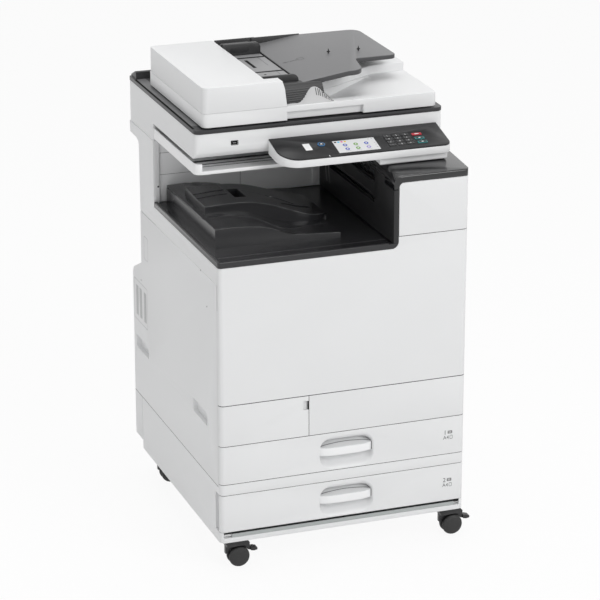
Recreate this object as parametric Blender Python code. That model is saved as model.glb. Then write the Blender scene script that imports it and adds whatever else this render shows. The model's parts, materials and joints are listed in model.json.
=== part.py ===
"""Office photocopier with a two-drawer base, a document feeder and a tilted control panel.

Lengths below are in millimetres and are written to the meshes in metres. X runs to the right,
Y to the back and Z up. While the parts are shaped, Y = 0 is the plane of the front covers and
X = 0 the middle of the body; the last step moves the whole machine so that its bounding box
stands centred on the origin.
"""

import math

import bmesh
import bpy
from mathutils import Matrix, Vector

for item in list(bpy.data.objects):
    bpy.data.objects.remove(item, do_unlink=True)

MM = 0.001

# --- Driving dimensions -------------------------------------------------------------------
BODY_W = 587.0  # width of the body
BODY_D = 580.0  # front plane to the back of the side covers
BANK_MORE = 18.0  # how much deeper the base unit is than the side covers
REAR_D = 72.0  # depth of the electronics box behind the body
SCAN_Y = 157.0  # set-back of the scanner's front
SCAN_OVER = 3.0  # how far the scanner's back stands behind the electronics box

PLINTH_H = 26.0
DRAWER_H = 88.0
RAIL_H = 19.0
SILL_H = 8.5
UPPER_H = 90.0
BAND_H = 98.0
COVER_H = 320.0
RIM_H = 12.0
EXIT_H = 188.0
SCAN_H = 58.0
FRAME_H = 9.0
PLATEN_H = 31.0
FEEDER_H = 59.0
TOWER_W = 167.0  # toner tower at the right
RISER_H = 27.0  # extra height of the front cover below the toner cover
TONER_H = 122.0
PANEL_W = 399.0
PANEL_D = 96.0
PANEL_SLOPE = 0.2525  # rise over run of the control panel's face
FEED_W = 152.0  # width of the document feeder's cover
WHEEL_R = 24.5
FORK_RISE = 29.0  # top of a wheel to the underside of the base
CASTER_TRAIL = 22.0  # swivel axis to wheel axle
LEVER = 44.0  # wheel axle to the tip of the brake lever

# --- Clearances and skins -----------------------------------------------------------------
FIT = 0.3  # between pieces that touch
SEAM = 1.4  # between covers that show a line
SKIN = 14.0  # side cover depth
WRAP = 12.5  # how far a front panel wraps round the corner
CORNER_R = 12.0

# --- Derived levels -----------------------------------------------------------------------
HW = BODY_W / 2
BANK_D = BODY_D + BANK_MORE
CASTER_H = 2 * WHEEL_R + FORK_RISE
Z_BASE = CASTER_H
Z_LOW = Z_BASE + PLINTH_H
Z_LOW_T = Z_LOW + DRAWER_H
Z_BANK = Z_LOW_T + RAIL_H
Z_UP = Z_BANK + SILL_H
Z_UP_T = Z_UP + UPPER_H
Z_BAND = Z_UP_T + BAND_H
Z_COVER = Z_BAND + COVER_H
Z_RIM = Z_COVER + RIM_H
Z_SCAN = Z_RIM + EXIT_H
Z_SCAN_T = Z_SCAN + SCAN_H
Z_FRAME = Z_SCAN_T + FRAME_H
Z_PLATEN = Z_FRAME + 4.0
Z_SEAM = Z_PLATEN + PLATEN_H
Z_FEEDER = Z_SEAM + FEEDER_H
Z_TONER = Z_COVER + RISER_H + SEAM
Z_TONER_T = Z_TONER + TONER_H
Z_REAR_T = Z_SCAN - 40.0
REAR_Y = BODY_D + REAR_D
SCAN_BACK = REAR_Y + SCAN_OVER
XF = HW - SKIN - FIT  # half width of the chassis
TOWER_X = HW - TOWER_W
STRIP_X = TOWER_X - 12.0
WALL_Y = BODY_D - 110.0  # front of the column and back wall
DECK_Z = Z_COVER + FIT  # top of the chassis under the output tray
TRAY_END_X = TOWER_X - 98.0

# --- Colours: base colour, roughness, metallic ---------------------------------------------
WHITE = ("white_plastic", (0.84, 0.84, 0.84), 0.45, 0.0)
GREY = ("grey_plastic", (0.42, 0.42, 0.43), 0.5, 0.0)
DARK = ("dark_plastic", (0.035, 0.035, 0.037), 0.4, 0.0)
GLOSS = ("gloss_black", (0.03, 0.03, 0.032), 0.18, 0.0)
STEEL = ("steel_frame", (0.45, 0.46, 0.47), 0.35, 1.0)
RUBBER = ("rubber", (0.02, 0.02, 0.02), 0.7, 0.0)
SCREEN = ("screen_glass", (0.8, 0.85, 0.9), 0.1, 0.0)
GLASS = ("platen_glass_clear", (0.5, 0.6, 0.58), 0.05, 0.0)
RED = ("red_key", (0.55, 0.03, 0.03), 0.4, 0.0)
TEAL = ("teal_key", (0.02, 0.3, 0.3), 0.4, 0.0)
BLUE = ("blue_ring", (0.03, 0.16, 0.5), 0.4, 0.0)


def material(spec):
    name, colour, roughness, metallic = spec
    found = bpy.data.materials.get(name)
    if found:
        return found
    made = bpy.data.materials.new(name)
    made.use_nodes = True
    shader = made.node_tree.nodes["Principled BSDF"]
    shader.inputs["Base Color"].default_value = (*colour, 1.0)
    shader.inputs["Roughness"].default_value = roughness
    shader.inputs["Metallic"].default_value = metallic
    return made


# --- Shape helpers: each returns (points, faces) in millimetres ----------------------------
def box(x0, x1, y0, y1, z0, z1):
    points = [(x, y, z) for x in (x0, x1) for y in (y0, y1) for z in (z0, z1)]
    faces = [(0, 1, 3, 2), (4, 6, 7, 5), (0, 4, 5, 1), (2, 3, 7, 6), (0, 2, 6, 4), (1, 5, 7, 3)]
    return points, faces


def loft(rings):
    """Rings of equal length joined side by side, with both ends capped."""
    count = len(rings[0])
    points = [p for ring in rings for p in ring]
    faces = [tuple(range(count)), tuple(range((len(rings) - 1) * count, len(rings) * count))]
    for k in range(len(rings) - 1):
        for i in range(count):
            j = (i + 1) % count
            faces.append((k * count + i, k * count + j, (k + 1) * count + j, (k + 1) * count + i))
    return points, faces


def place(a, b, level, axis):
    if axis == "z":
        return (a, b, level)
    if axis == "y":
        return (a, level, b)
    return (level, a, b)


def prism(outline, low, high, axis="z"):
    """Outline is (x, y) for axis z, (x, z) for axis y and (y, z) for axis x."""
    return loft([[place(a, b, level, axis) for a, b in outline] for level in (low, high)])


def rounded(corners, steps=5):
    """Outline with a fillet at each (a, b, radius) corner."""
    out = []
    count = len(corners)
    for i, (a, b, radius) in enumerate(corners):
        here = Vector((a, b))
        if radius <= 0:
            out.append((a, b))
            continue
        back = (Vector(corners[i - 1][:2]) - here).normalized()
        ahead = (Vector(corners[(i + 1) % count][:2]) - here).normalized()
        half = back.angle(ahead) / 2
        reach = radius / math.tan(half)
        centre = here + (back + ahead).normalized() * (radius / math.sin(half))
        first = here + back * reach - centre
        last = here + ahead * reach - centre
        turn = math.atan2(first.x * last.y - first.y * last.x, first.dot(last))
        for k in range(steps + 1):
            spun = Matrix.Rotation(turn * k / steps, 2) @ first + centre
            out.append((spun.x, spun.y))
    return out


def rectangle(a0, a1, b0, b1, radii=(0, 0, 0, 0), steps=5):
    """Corners in the order low-low, high-low, high-high, low-high."""
    spots = ((a0, b0), (a1, b0), (a1, b1), (a0, b1))
    return rounded([(a, b, r) for (a, b), r in zip(spots, radii)], steps)


def lathe(profile, centre, axis="y", count=28):
    """Closed (distance along the axis, radius) profile spun about the axis through centre."""
    points = []
    for k in range(count):
        turn = 2 * math.pi * k / count
        for along, radius in profile:
            a = radius * math.cos(turn)
            b = radius * math.sin(turn)
            if axis == "y":
                points.append((centre[0] + a, centre[1] + along, centre[2] + b))
            else:
                points.append((centre[0] + a, centre[1] + b, centre[2] + along))
    size = len(profile)
    faces = []
    for k in range(count):
        n = (k + 1) % count
        for i in range(size - 1):
            faces.append((k * size + i, k * size + i + 1, n * size + i + 1, n * size + i))
    faces.append(tuple(k * size for k in range(count)))
    faces.append(tuple(k * size + size - 1 for k in range(count)))
    return points, faces


def cylinder(centre, radius, low, high, axis="y", count=24):
    return lathe([(low, radius), (high, radius)], centre, axis, count)


def mapped(shape, move):
    points, faces = shape
    return [move(*p) for p in points], faces


def raw_object(name, shape):
    points, faces = shape
    mesh = bpy.data.meshes.new(name)
    grid = bmesh.new()
    verts = [grid.verts.new((x * MM, y * MM, z * MM)) for x, y, z in points]
    for face in faces:
        grid.faces.new([verts[i] for i in face])
    bmesh.ops.recalc_face_normals(grid, faces=grid.faces)
    grid.to_mesh(mesh)
    grid.free()
    made = bpy.data.objects.new(name, mesh)
    bpy.context.collection.objects.link(made)
    return made


def combine(target, shape, operation):
    tool = raw_object("tool", shape)
    step = target.modifiers.new("step", "BOOLEAN")
    step.operation = operation
    step.solver = "EXACT"
    step.object = tool
    bpy.context.view_layer.update()
    graph = bpy.context.evaluated_depsgraph_get()
    result = bpy.data.meshes.new_from_object(target.evaluated_get(graph))
    target.modifiers.clear()
    old = target.data
    target.data = result
    bpy.data.meshes.remove(old)
    bpy.data.objects.remove(tool, do_unlink=True)


PARTS = []


def part(name, spec, adds, cuts=(), keep=(), origin=(0, 0, 0)):
    """One closed body: the adds joined, trimmed to every keep shape, with the cuts taken out."""
    made = raw_object(name, adds[0])
    for shape in adds[1:]:
        combine(made, shape, "UNION")
    for shape in keep:
        combine(made, shape, "INTERSECT")
    for shape in cuts:
        combine(made, shape, "DIFFERENCE")
    made.name = name
    made.data.name = name
    made.data.materials.clear()
    made.data.materials.append(material(spec))
    made.data.shade_smooth()
    made.data.set_sharp_from_angle(angle=math.radians(35))
    pivot = Vector(origin) * MM
    made.data.transform(Matrix.Translation(-pivot))
    made.location = pivot
    PARTS.append(made)
    return made


def front_plan(x0, x1, depth, left=True, right=True):
    """Plan of a front panel: a skin that wraps a rounded corner, and a narrower body behind."""
    inner0 = x0 + SKIN + SEAM if left else x0
    inner1 = x1 - SKIN - SEAM if right else x1
    corners = [
        (x0, WRAP, 0),
        (x0, 0, CORNER_R if left else 0),
        (x1, 0, CORNER_R if right else 0),
        (x1, WRAP, 0),
    ]
    if right:
        corners.append((inner1, WRAP, 0))
    corners.append((inner1, depth, 0))
    corners.append((inner0, depth, 0))
    if left:
        corners.append((inner0, WRAP, 0))
    return rounded(corners)


# --- Base unit ----------------------------------------------------------------------------
FRONT_D = 34.0  # thickness of a drawer's front
BAY_X = HW - 21.0
BANK_FLOOR = Z_BASE + 22.0


def bank_frame():
    top = Z_BANK - FIT
    corners = (CORNER_R, CORNER_R, 4, 4)
    shell = prism(rectangle(-HW, HW, 0, BANK_D, corners), Z_BASE, top)
    back = box(-HW, HW, BANK_D - 1, REAR_Y, Z_LOW - 5, top)
    open_z = (Z_LOW - SEAM, Z_LOW_T + SEAM)
    front = box(-HW - 1, HW + 1, -1, FRONT_D + SEAM, *open_z)
    bay = box(-BAY_X, BAY_X, -1, BANK_D - 38, BANK_FLOOR, Z_LOW_T + SEAM)
    hollow = box(-HW + 8, HW - 8, BANK_D - 30, REAR_Y - 6, BANK_FLOOR + 4, Z_LOW_T + 8)
    link = box(-BAY_X + 20, BAY_X - 20, BANK_D - 60, BANK_D, BANK_FLOOR + 20, Z_LOW_T - 10)
    slot = box(-HW + 7.5, HW - 10.5, -1, 12, Z_BASE + 11, Z_LOW)
    door = box(HW - 9, HW + 1, 60, BODY_D - 40, Z_BASE + 34, Z_LOW_T + 4)
    sill = prism(front_plan(-HW, HW, FRONT_D - 4), top - 1, Z_UP - SEAM)
    cuts = [front, bay, hollow, link, slot, door]
    body = part("bank_frame", WHITE, [shell, back, sill], cuts)
    bar = box(-HW + 27.5, HW - 22.5, 3, 12.5, Z_BASE + 10.5, Z_BASE + 19.5)
    combine(body, bar, "UNION")
    for side, inner in ((-HW + 7.4, -HW + 28), (HW - 23, HW - 10.4)):
        combine(body, box(side, inner, 6, 12.5, Z_BASE + 14, Z_BASE + 19), "UNION")


GRIP_X = 6.5
GRIP_W = 129.0


def drawer(name, low, height, floor):
    """Front with a recessed crowned grip, and an open-topped paper box behind it."""
    front = prism(front_plan(-HW, HW, FRONT_D), low, low + height)
    x = BAY_X - 4
    paper_back = BANK_D - 50
    tub = box(-x, x, FRONT_D - 2, paper_back, floor + FIT, low + height - 6)
    inside = box(-x + 5, x - 5, FRONT_D + 3, paper_back - 5, floor + 5, low + height + 5)
    mid = low + height / 2 - 3.5
    tall = height / 2 - 5
    r = 30.0
    x0, x1 = GRIP_X - GRIP_W / 2, GRIP_X + GRIP_W / 2
    edge = rectangle(x0, x1, mid - tall, mid + tall, (r, r, r, r), 8)
    recess = prism(edge, -1, FRONT_D - 6, "y")
    body = part(name, WHITE, [front, tub], [inside, recess])
    end = GRIP_W / 2 + 1
    crown = [(-end, 10), (-end * 0.8, 5), (-end * 0.45, 1.5), (0, 0.4)]
    crown += [(-a, b) for a, b in crown[-2::-1]]
    plan = [(GRIP_X + a, b) for a, b in crown] + [(GRIP_X + end, 16), (GRIP_X - end, 16)]
    combine(body, prism(plan, mid - 7, mid + 12), "UNION")
    deep = FRONT_D - 5
    rings = []
    for k in (-0.86, -0.7, -0.4, 0, 0.4, 0.7, 0.86):
        rise = 13.5 * math.sqrt(1 - k * k)
        lid = [(13, mid + 6), (13, mid + 11.5), (deep - 4, mid + 11.5 + rise)]
        lid += [(deep, mid + 11.5 + rise), (deep, mid + 6)]
        rings.append([(GRIP_X + k * GRIP_W / 2, y, z) for y, z in lid])
    combine(body, loft(rings), "UNION")


def bank_door():
    shape = box(HW - 9 + FIT, HW, 60 + SEAM, BODY_D - 40 - SEAM, Z_BASE + 34 + SEAM, Z_LOW_T + 4 - SEAM)
    part("bank_door", WHITE, [shape], origin=(HW, BODY_D - 40 - SEAM, (Z_BASE + Z_LOW_T) / 2))


# --- Chassis ------------------------------------------------------------------------------
T = 2.8  # sheet thickness of the chassis
REAR_Z = Z_REAR_T - FIT * 2


def main_frame():
    low = Z_BANK + FIT
    roof = Z_UP_T + 4.5
    deck = DECK_Z
    back = BODY_D - 2
    tower_x = TOWER_X + 6
    tower_z = Z_TONER_T - 2.0
    inner = 40.0
    step = WALL_Y + 12
    adds = [
        box(-XF, XF, FRONT_D, back, low, Z_UP - SEAM),
        box(-XF, -XF + T, FRONT_D, back, low, deck),
        box(XF - T, XF, FRONT_D, back, low, deck),
        box(-XF, XF, 14.8, back, roof - T, roof),
        box(-XF, XF, 14.8, inner + T, roof - T, Z_BAND - 3),
        box(-XF, XF, inner, inner + T, roof - T, deck),
        box(-XF, -XF + 12, 14.8, inner + T, roof, deck),
        box(XF - 12, XF, 14.8, inner + T, roof, deck),
        box(-XF, XF, 14.8, back, deck - T, deck),
        box(-XF, XF, back - T, back, low, REAR_Z),
        box(-XF, XF, step, step + T, deck - T, REAR_Z),
        box(-XF, XF, step, back, REAR_Z - T, REAR_Z),
        box(-XF, -XF + T, step, back, deck - T, REAR_Z),
        box(XF - T, XF, step, back, deck - T, REAR_Z),
        box(tower_x, tower_x + T, 14.8, step + T, deck - T, tower_z),
        box(XF - T, XF, 14.8, step + T, deck - T, tower_z),
        box(tower_x, XF, 14.8, step + T, tower_z - T, tower_z),
        box(XF - 44, XF - 40, inner, back, roof - T, deck),
    ]
    cuts = [
        box(-XF + 12, TOWER_X - 220, 10, inner - 2, roof + 8, Z_BAND - 10),
        box(tower_x + 20, XF - 60, 60, WALL_Y - 30, deck - T - 1, deck + 1),
        box(-XF + 20, tower_x - 10, step + 12, back - 12, deck - T - 1, deck + 1),
        box(tower_x + 20, XF - 20, step - 1, step + T + 1, deck + 20, tower_z - 20),
        box(XF - T - 1, XF + 1, 60, BODY_D - 80, roof + 12, deck - 22),
        box(-XF + 40, XF - 80, back - T - 1, back + 1, roof + 20, Z_COVER - 240),
    ]
    part("main_frame", STEEL, adds, cuts)


GRIPS_Y = ((89, 192), (BODY_D - 46, BODY_D + 52))


def side_outline(y0, top):
    """Side view of a side cover: straight front, stepped and sloped back."""
    box_top = Z_BANK + 304
    return [
        (y0, Z_BANK + FIT),
        (REAR_Y, Z_BANK + FIT),
        (REAR_Y, box_top),
        (REAR_Y - 8, box_top + 13),
        (BODY_D + 2, box_top + 42),
        (BODY_D, top),
        (y0, top),
    ]


def left_cover():
    low = Z_UP_T + 19
    slab = prism(side_outline(WRAP + SEAM, Z_COVER - 41), -HW, -HW + SKIN, "x")
    cuts = []
    for y0, y1 in GRIPS_Y:
        edge = rectangle(y0, y1, low, low + 31, (3, 10, 3, 10), 3)
        cuts.append(prism(edge, -HW - 1, -HW + SKIN - 2.5, "x"))
    cuts.append(box(-HW + 3, -HW + SKIN + 1, 210, BODY_D - 65, Z_BANK + 8, Z_COVER - 50))
    part("left_cover", WHITE, [slab], cuts)


def flare(y0, low):
    """Side view of the column that spreads out under the scanner's back."""
    top = Z_REAR_T - FIT
    return [
        (y0, low),
        (BODY_D, low),
        (BODY_D + 4, top - 40),
        (BODY_D + 9, top - 33),
        (BODY_D + 22, top - 28),
        (SCAN_BACK - 3, top - 27),
        (SCAN_BACK - 0.5, top),
        (y0, top),
    ]


def left_upper_cover():
    low = Z_COVER - 41 + SEAM
    band = box(-HW, -HW + SKIN, WRAP + SEAM, BODY_D, low, Z_COVER)
    column = prism(flare(WALL_Y, low + 2), -HW, -HW + SKIN, "x")
    part("left_upper_cover", WHITE, [band, column])


def rear_cover():
    y0 = BODY_D - 2 + FIT * 2
    box_top = Z_BANK + 304
    outline = [
        (y0, Z_BANK + SEAM),
        (REAR_Y, Z_BANK + SEAM),
        (REAR_Y, box_top),
        (REAR_Y - 8, box_top + 13),
        (BODY_D + 4, box_top + 41),
        (BODY_D + 4, Z_REAR_T - 41),
        (BODY_D + 9, Z_REAR_T - 34),
        (BODY_D + 22, Z_REAR_T - 29),
        (SCAN_BACK - 3, Z_REAR_T - 28),
        (SCAN_BACK - 0.5, Z_REAR_T - FIT * 2),
        (y0, Z_REAR_T - FIT * 2),
    ]
    hollow = box(-XF + 6, XF - 6, y0 - 1, REAR_Y - 6, Z_BANK + 8, box_top - 8)
    inlet = box(-XF + 44, -XF + 72, REAR_Y - 5, REAR_Y + 1, Z_BANK + 30, Z_BANK + 50)
    shape = prism(outline, -XF + FIT, XF - FIT, "x")
    body = part("rear_cover", WHITE, [shape], [hollow])
    x0 = -XF + 38
    combine(body, box(x0, x0 + 40, REAR_Y - 24, REAR_Y - 3, Z_BANK + 24, Z_BANK + 56), "UNION")
    combine(body, mapped(inlet, lambda x, y, z: (x, y - 13 if y < REAR_Y else y, z)), "DIFFERENCE")


DOOR_Y = (40.0, BODY_D - 80.0)
DOOR_Z = (Z_UP_T + 12.5, Z_COVER - 28)
BYPASS_Y = (110.0, BODY_D - 150.0)
BYPASS_Z = (Z_BAND + 12, Z_COVER - 108)


def right_cover():
    lower = prism(side_outline(WRAP + SEAM, Z_COVER), HW - SKIN, HW, "x")
    tower = box(HW - SKIN, HW, WRAP + SEAM, WALL_Y + 1, Z_COVER - 10, Z_TONER_T + 1)
    column = prism(flare(WALL_Y, Z_COVER - 10), HW - SKIN, HW, "x")
    hole = box(HW - SKIN - 1, HW + 1, *DOOR_Y, *DOOR_Z)
    part("right_cover", WHITE, [lower, tower, column], [hole])


def right_door():
    y0, y1 = DOOR_Y
    z0, z1 = DOOR_Z
    edge = y1 - FIT * 2
    slab = box(HW - 12, HW, y0 + SEAM, edge, z0 + SEAM, z1 - SEAM)
    pocket = box(HW - 9, HW + 1, *BYPASS_Y, *BYPASS_Z)
    part("right_door", WHITE, [slab], [pocket], origin=(HW, edge, (z0 + z1) / 2))


def bypass_tray():
    y0, y1 = BYPASS_Y
    z0, z1 = BYPASS_Z
    slab = box(HW - 8.4, HW, y0 + SEAM, y1 - SEAM, z0 + FIT * 2, z1 - SEAM)
    well = box(HW - 9, HW - 5, y0 + 12, y1 - 12, z0 + 10, z1 + 1)
    part("bypass_tray", WHITE, [slab], [well], origin=(HW, (y0 + y1) / 2, z0 + FIT * 2))


# --- Front covers -------------------------------------------------------------------------
COVER_D = 14.5


def cover_outline(gap):
    """Front view of the front cover with its step up to the toner cover, grown by the gap."""
    top = Z_COVER + RISER_H + 5
    corners = [
        (-HW - 1, Z_BAND, 0),
        (HW + 1, Z_BAND, 0),
        (HW + 1, top, 0),
        (TOWER_X - gap, top, 0),
        (TOWER_X - gap, Z_COVER + gap, 16),
        (-HW - 1, Z_COVER + gap, 0),
    ]
    return prism(rounded(corners), -1, COVER_D + 2 * gap + 0.01, "y")


def front_cover():
    low = Z_BAND + FIT
    slab = prism(front_plan(-HW, HW, COVER_D), low, Z_COVER + RISER_H)
    nail = box(-HW - 1, -HW + 1.2, 3, WRAP + 1, Z_COVER - 98, Z_COVER - 42)
    part("front_cover", WHITE, [slab], [nail], keep=[cover_outline(0)], origin=(0, 0, low))


def toner_cover():
    slab = prism(front_plan(TOWER_X + 0.5, HW, COVER_D, left=False), Z_TONER, Z_TONER_T)
    keep = rectangle(TOWER_X + 0.5, HW + 1, Z_TONER - 1, Z_TONER_T, (0, 0, 0, 10))
    trim = prism(keep, -1, COVER_D + 1, "y")
    part("toner_cover", WHITE, [slab], keep=[trim], origin=(TOWER_X + TOWER_W / 2, 0, Z_TONER))


SPLIT_X = -84.0


def lower_covers():
    z0, z1 = Z_UP_T + SEAM, Z_BAND - SEAM
    door = prism(front_plan(-HW, SPLIT_X - SEAM / 2, COVER_D, right=False), z0, z1)
    notch = box(SPLIT_X - 14, SPLIT_X + 1, -1, 8, Z_BAND - 34, Z_BAND - 13)
    part("waste_toner_door", WHITE, [door], [notch], origin=(-HW, WRAP, (z0 + z1) / 2))
    panel = prism(front_plan(SPLIT_X + SEAM / 2, HW, COVER_D, left=False), z0, z1)
    part("lower_right_panel", WHITE, [panel])


def toner_rack():
    floor = DECK_Z + FIT
    x0, x1 = TOWER_X + 11, XF - 5
    top = Z_TONER_T - 7
    mid_z = (floor + top) / 2
    adds = [
        box(x0, x1, 60, 66, floor, top),
        box(x0, x1, 40, WALL_Y - 70, floor, floor + 4),
        box(x0, x1, 40, WALL_Y - 70, mid_z - 2, mid_z + 2),
    ]
    radius = min((x1 - x0) / 4, (top - floor) / 4) - 3.2
    for i in range(2):
        for j in range(2):
            x = x0 + (x1 - x0) * (0.25 + 0.5 * i)
            z = floor + (top - floor) * (0.25 + 0.5 * j)
            adds.append(cylinder((x, 0, z), radius + 1.6, 30, WALL_Y - 75, "y", 20))
            adds.append(cylinder((x, 0, z), radius * 0.55, 22, 31, "y", 16))
    part("toner_rack", DARK, adds)


# --- Output tray and tower ----------------------------------------------------------------
def exit_tray():
    low = Z_COVER + 0.6
    floor = Z_RIM - 2.5
    x0 = -HW + 0.4
    x1 = STRIP_X + 11.5
    back = WALL_Y + 2
    base = prism(rectangle(x0, x1, 0.6, back, (8, 0, 0, 0)), low, floor)
    rim_l = box(x0, x0 + 7, 8.4, back, floor - 1, Z_RIM)
    rim_f = prism(rectangle(x0, x1, 0.6, 12, (8, 0, 0, 0)), floor - 1, Z_RIM)
    left = -HW + 29
    rise = Z_RIM + 41
    span = TRAY_END_X - left
    lower_top = ((0, 0), (0.15, 1), (0.32, -3), (0.43, -9), (0.53, -20), (0.61, -28), (0.7, -32))
    lower_top += ((0.85, -35), (1, -38))
    lower = [(left + f * span, rise + h) for f, h in lower_top]
    lower += [(TRAY_END_X, floor - 1), (left, floor - 1)]
    start = left + 17
    span = TRAY_END_X + 12 - start
    upper_top = ((0, 14), (0.21, 16), (0.38, 14), (0.52, 7), (0.66, -5), (0.8, -18), (0.95, -28))
    upper_top += ((1, -37),)
    upper = [(start + f * span, rise + h) for f, h in upper_top]
    upper += [(TRAY_END_X + 12, floor - 1), (start, floor - 1)]
    adds = [
        base,
        rim_l,
        rim_f,
        prism(lower, 106, WALL_Y - 9, "y"),
        prism(upper, WALL_Y - 241, WALL_Y - 95, "y"),
    ]
    well = box(left + 100.5, left + 129.5, WALL_Y - 202, WALL_Y - 133, Z_RIM + 8, rise + 30)
    corner = box(-HW - 1, -HW + SKIN + FIT, WALL_Y - FIT, back + 1, low - 1, Z_RIM + 1)
    part("exit_tray", DARK, adds, [well, corner, cover_outline(FIT)])


def exit_back_wall():
    shape = box(-XF, STRIP_X + 12, WALL_Y + 3, WALL_Y + 11.5, Z_RIM - 1.5, Z_REAR_T - FIT * 2)
    part("exit_back_wall", WHITE, [shape])


CAP_Z = Z_TONER_T + 1.5


def tower_inner_cover():
    y1 = WALL_Y + 2.5
    top = CAP_Z - 16
    slab = box(STRIP_X, TOWER_X - 0.3, 0.6, y1, Z_RIM + FIT, CAP_Z - 0.5)
    front = box(STRIP_X - 1, TOWER_X, 0, 60, top - SEAM, CAP_Z)
    upper = box(STRIP_X - 1, TOWER_X, 121, WALL_Y - 30, CAP_Z - 30, CAP_Z - 6)
    lower = box(STRIP_X - 1, TOWER_X, 120, WALL_Y - 30, Z_RIM + 60, Z_RIM + 74)
    cuts = [front, upper, lower, cover_outline(FIT)]
    part("tower_inner_cover", DARK, [slab], cuts)


def cap_section(y, lift, inset):
    """Arch of the tower's top cover seen from the front, shrunk by inset at its outside."""
    low = CAP_Z - 15.5
    outer = [(STRIP_X + inset, low), (STRIP_X + inset, CAP_Z - 6)]
    for k in range(1, 6):
        turn = math.pi / 2 * k / 5
        a = STRIP_X + inset + 20 * (1 - math.cos(turn))
        b = CAP_Z - 6 + (20 - inset) * math.sin(turn) + lift * math.sin(turn)
        outer.append((a, b))
    top = outer[-1][1]
    outer.append((HW - inset, top))
    inner = [(HW - inset, CAP_Z - 0.3), (TOWER_X + 12, CAP_Z - 0.3)]
    for k in range(1, 5):
        turn = math.pi / 2 * k / 4
        a = TOWER_X + 12 - 12 * math.sin(turn)
        b = CAP_Z - 0.3 - 12 * (1 - math.cos(turn))
        inner.append((a, b))
    inner.append((TOWER_X, low))
    return [(a, y, b) for a, b in outer + inner]


CAP_RISE = ((3.5, 0.8), (60, 5), (115, 9), (WALL_Y - 0.5, 9))


def tower_top_cover():
    rings = [cap_section(0.6, 0, 2.0), cap_section(1.4, 0, 0.6)]
    rings += [cap_section(y, lift, 0) for y, lift in CAP_RISE]
    cut = box(STRIP_X - 1, TOWER_X + 1, 60 - SEAM, WALL_Y, CAP_Z - 20, CAP_Z - 0.2)
    plan = rectangle(STRIP_X - 3, HW + 0.01, 0, WALL_Y + 1, (0, CORNER_R, 0, 0))
    part("tower_top_cover", GLOSS, [loft(rings)], [cut], keep=[prism(plan, CAP_Z - 30, CAP_Z + 40)])


# --- Scanner ------------------------------------------------------------------------------
SX = HW - 1.5
CAVE_X = SX - 12
CAVE_Z = Z_SCAN + 8


def scanner_body():
    outline = [
        (SCAN_Y, Z_SCAN_T),
        (SCAN_Y, Z_SCAN + 24),
        (SCAN_Y + 2.5, Z_SCAN + 14),
        (SCAN_Y + 10, Z_SCAN + 4),
        (SCAN_Y + 18, Z_SCAN),
        (WALL_Y, Z_SCAN),
        (WALL_Y, Z_REAR_T),
        (SCAN_BACK, Z_REAR_T),
        (SCAN_BACK, Z_SCAN_T),
    ]
    shape = prism(outline, -SX, SX, "x")
    plan = prism(rectangle(-SX, SX, SCAN_Y, SCAN_BACK, (14, 14, 6, 6)), Z_REAR_T - 5, Z_FRAME)
    cave = box(-CAVE_X, CAVE_X, SCAN_Y + 14, SCAN_BACK - 14, CAVE_Z, Z_FRAME)
    port = box(-HW + 85, -HW + 100, SCAN_Y - 1, SCAN_Y + 9, Z_SCAN + 28, Z_SCAN + 36.5)
    under = box(-CAVE_X, CAVE_X, WALL_Y + 12, SCAN_BACK - 12, Z_REAR_T + 6, CAVE_Z + 1)
    part("scanner_body", WHITE, [shape], [cave, port, under], keep=[plan])


GLASS_X = (-222.0, 226.0)
GLASS_Y = (SCAN_Y + 31, SCAN_BACK - 143)
ARM_X = HW * 0.72


def scanner_top_frame():
    x = HW - 0.6
    y1 = SCAN_BACK + 0.8
    z0, z1 = Z_SCAN_T + FIT, Z_FRAME
    plate = prism(rectangle(-x, x, SCAN_Y - 1.2, y1, (15, 15, 8, 8)), z0, z1)
    ridge = [(y1 - 40, z1 - 2), (y1 - 38, z1 + 16), (y1 - 30, z1 + 17), (y1, z1 + 3), (y1, z1 - 2)]
    wall = prism(ridge, -x + 6, x - 6, "x")
    gx0, gx1 = GLASS_X
    gy0, gy1 = GLASS_Y
    hole = box(gx0 + 5, gx1 - 5, gy0 + 5, gy1 - 5, z0 - 1, z1 + 1)
    ledge = box(gx0, gx1, gy0, gy1, z1 - 4.5, z1 + 1)
    strip = box(gx0 - 36, gx0 - 12, gy0 + 5, gy1 - 5, z1 - 1, z1 + 1)
    part("scanner_top_frame", DARK, [plate, wall], [hole, ledge, strip])


def platen_glass():
    gx0, gx1 = GLASS_X
    gy0, gy1 = GLASS_Y
    z1 = Z_FRAME
    shape = box(gx0 + FIT, gx1 - FIT, gy0 + FIT, gy1 - FIT, z1 - 4.2, z1 - 0.2)
    part("platen_glass", GLASS, [shape])


def scan_carriage():
    y0, y1 = GLASS_Y
    x0 = GLASS_X[0] + 4
    bar = box(x0, x0 + 44, y0 + 2, y1 - 2, CAVE_Z + FIT, CAVE_Z + 30)
    trough = box(x0 + 12, x0 + 32, y0 + 10, y1 - 10, CAVE_Z + 12, CAVE_Z + 31)
    part("scan_carriage", DARK, [bar], [trough])


def shelf_tray():
    z0 = Z_SCAN - 35
    x0, x1 = -HW + 2.5, STRIP_X - 2.5
    y0, y1 = SCAN_Y + 3, WALL_Y - FIT
    outline = rectangle(x0, x1, y0, y1, (16, 6, 0, 0))
    block = prism(outline, z0, z0 + 24)
    room = prism(rectangle(x0 + 3, x1 + 1, y0 + 4, y1 + 1, (13, 0, 0, 0)), z0 + 3, z0 + 25)
    front = box(x0 + 16, x1 + 1, y0 - 1, y0 + 5, z0 + 7.5, z0 + 25)
    right = box(x1 - 60, x1 + 1, y0 - 1, y1 + 1, z0 + 7.5, z0 + 25)
    part("shelf_tray", WHITE, [block], [room, front, right])


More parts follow.
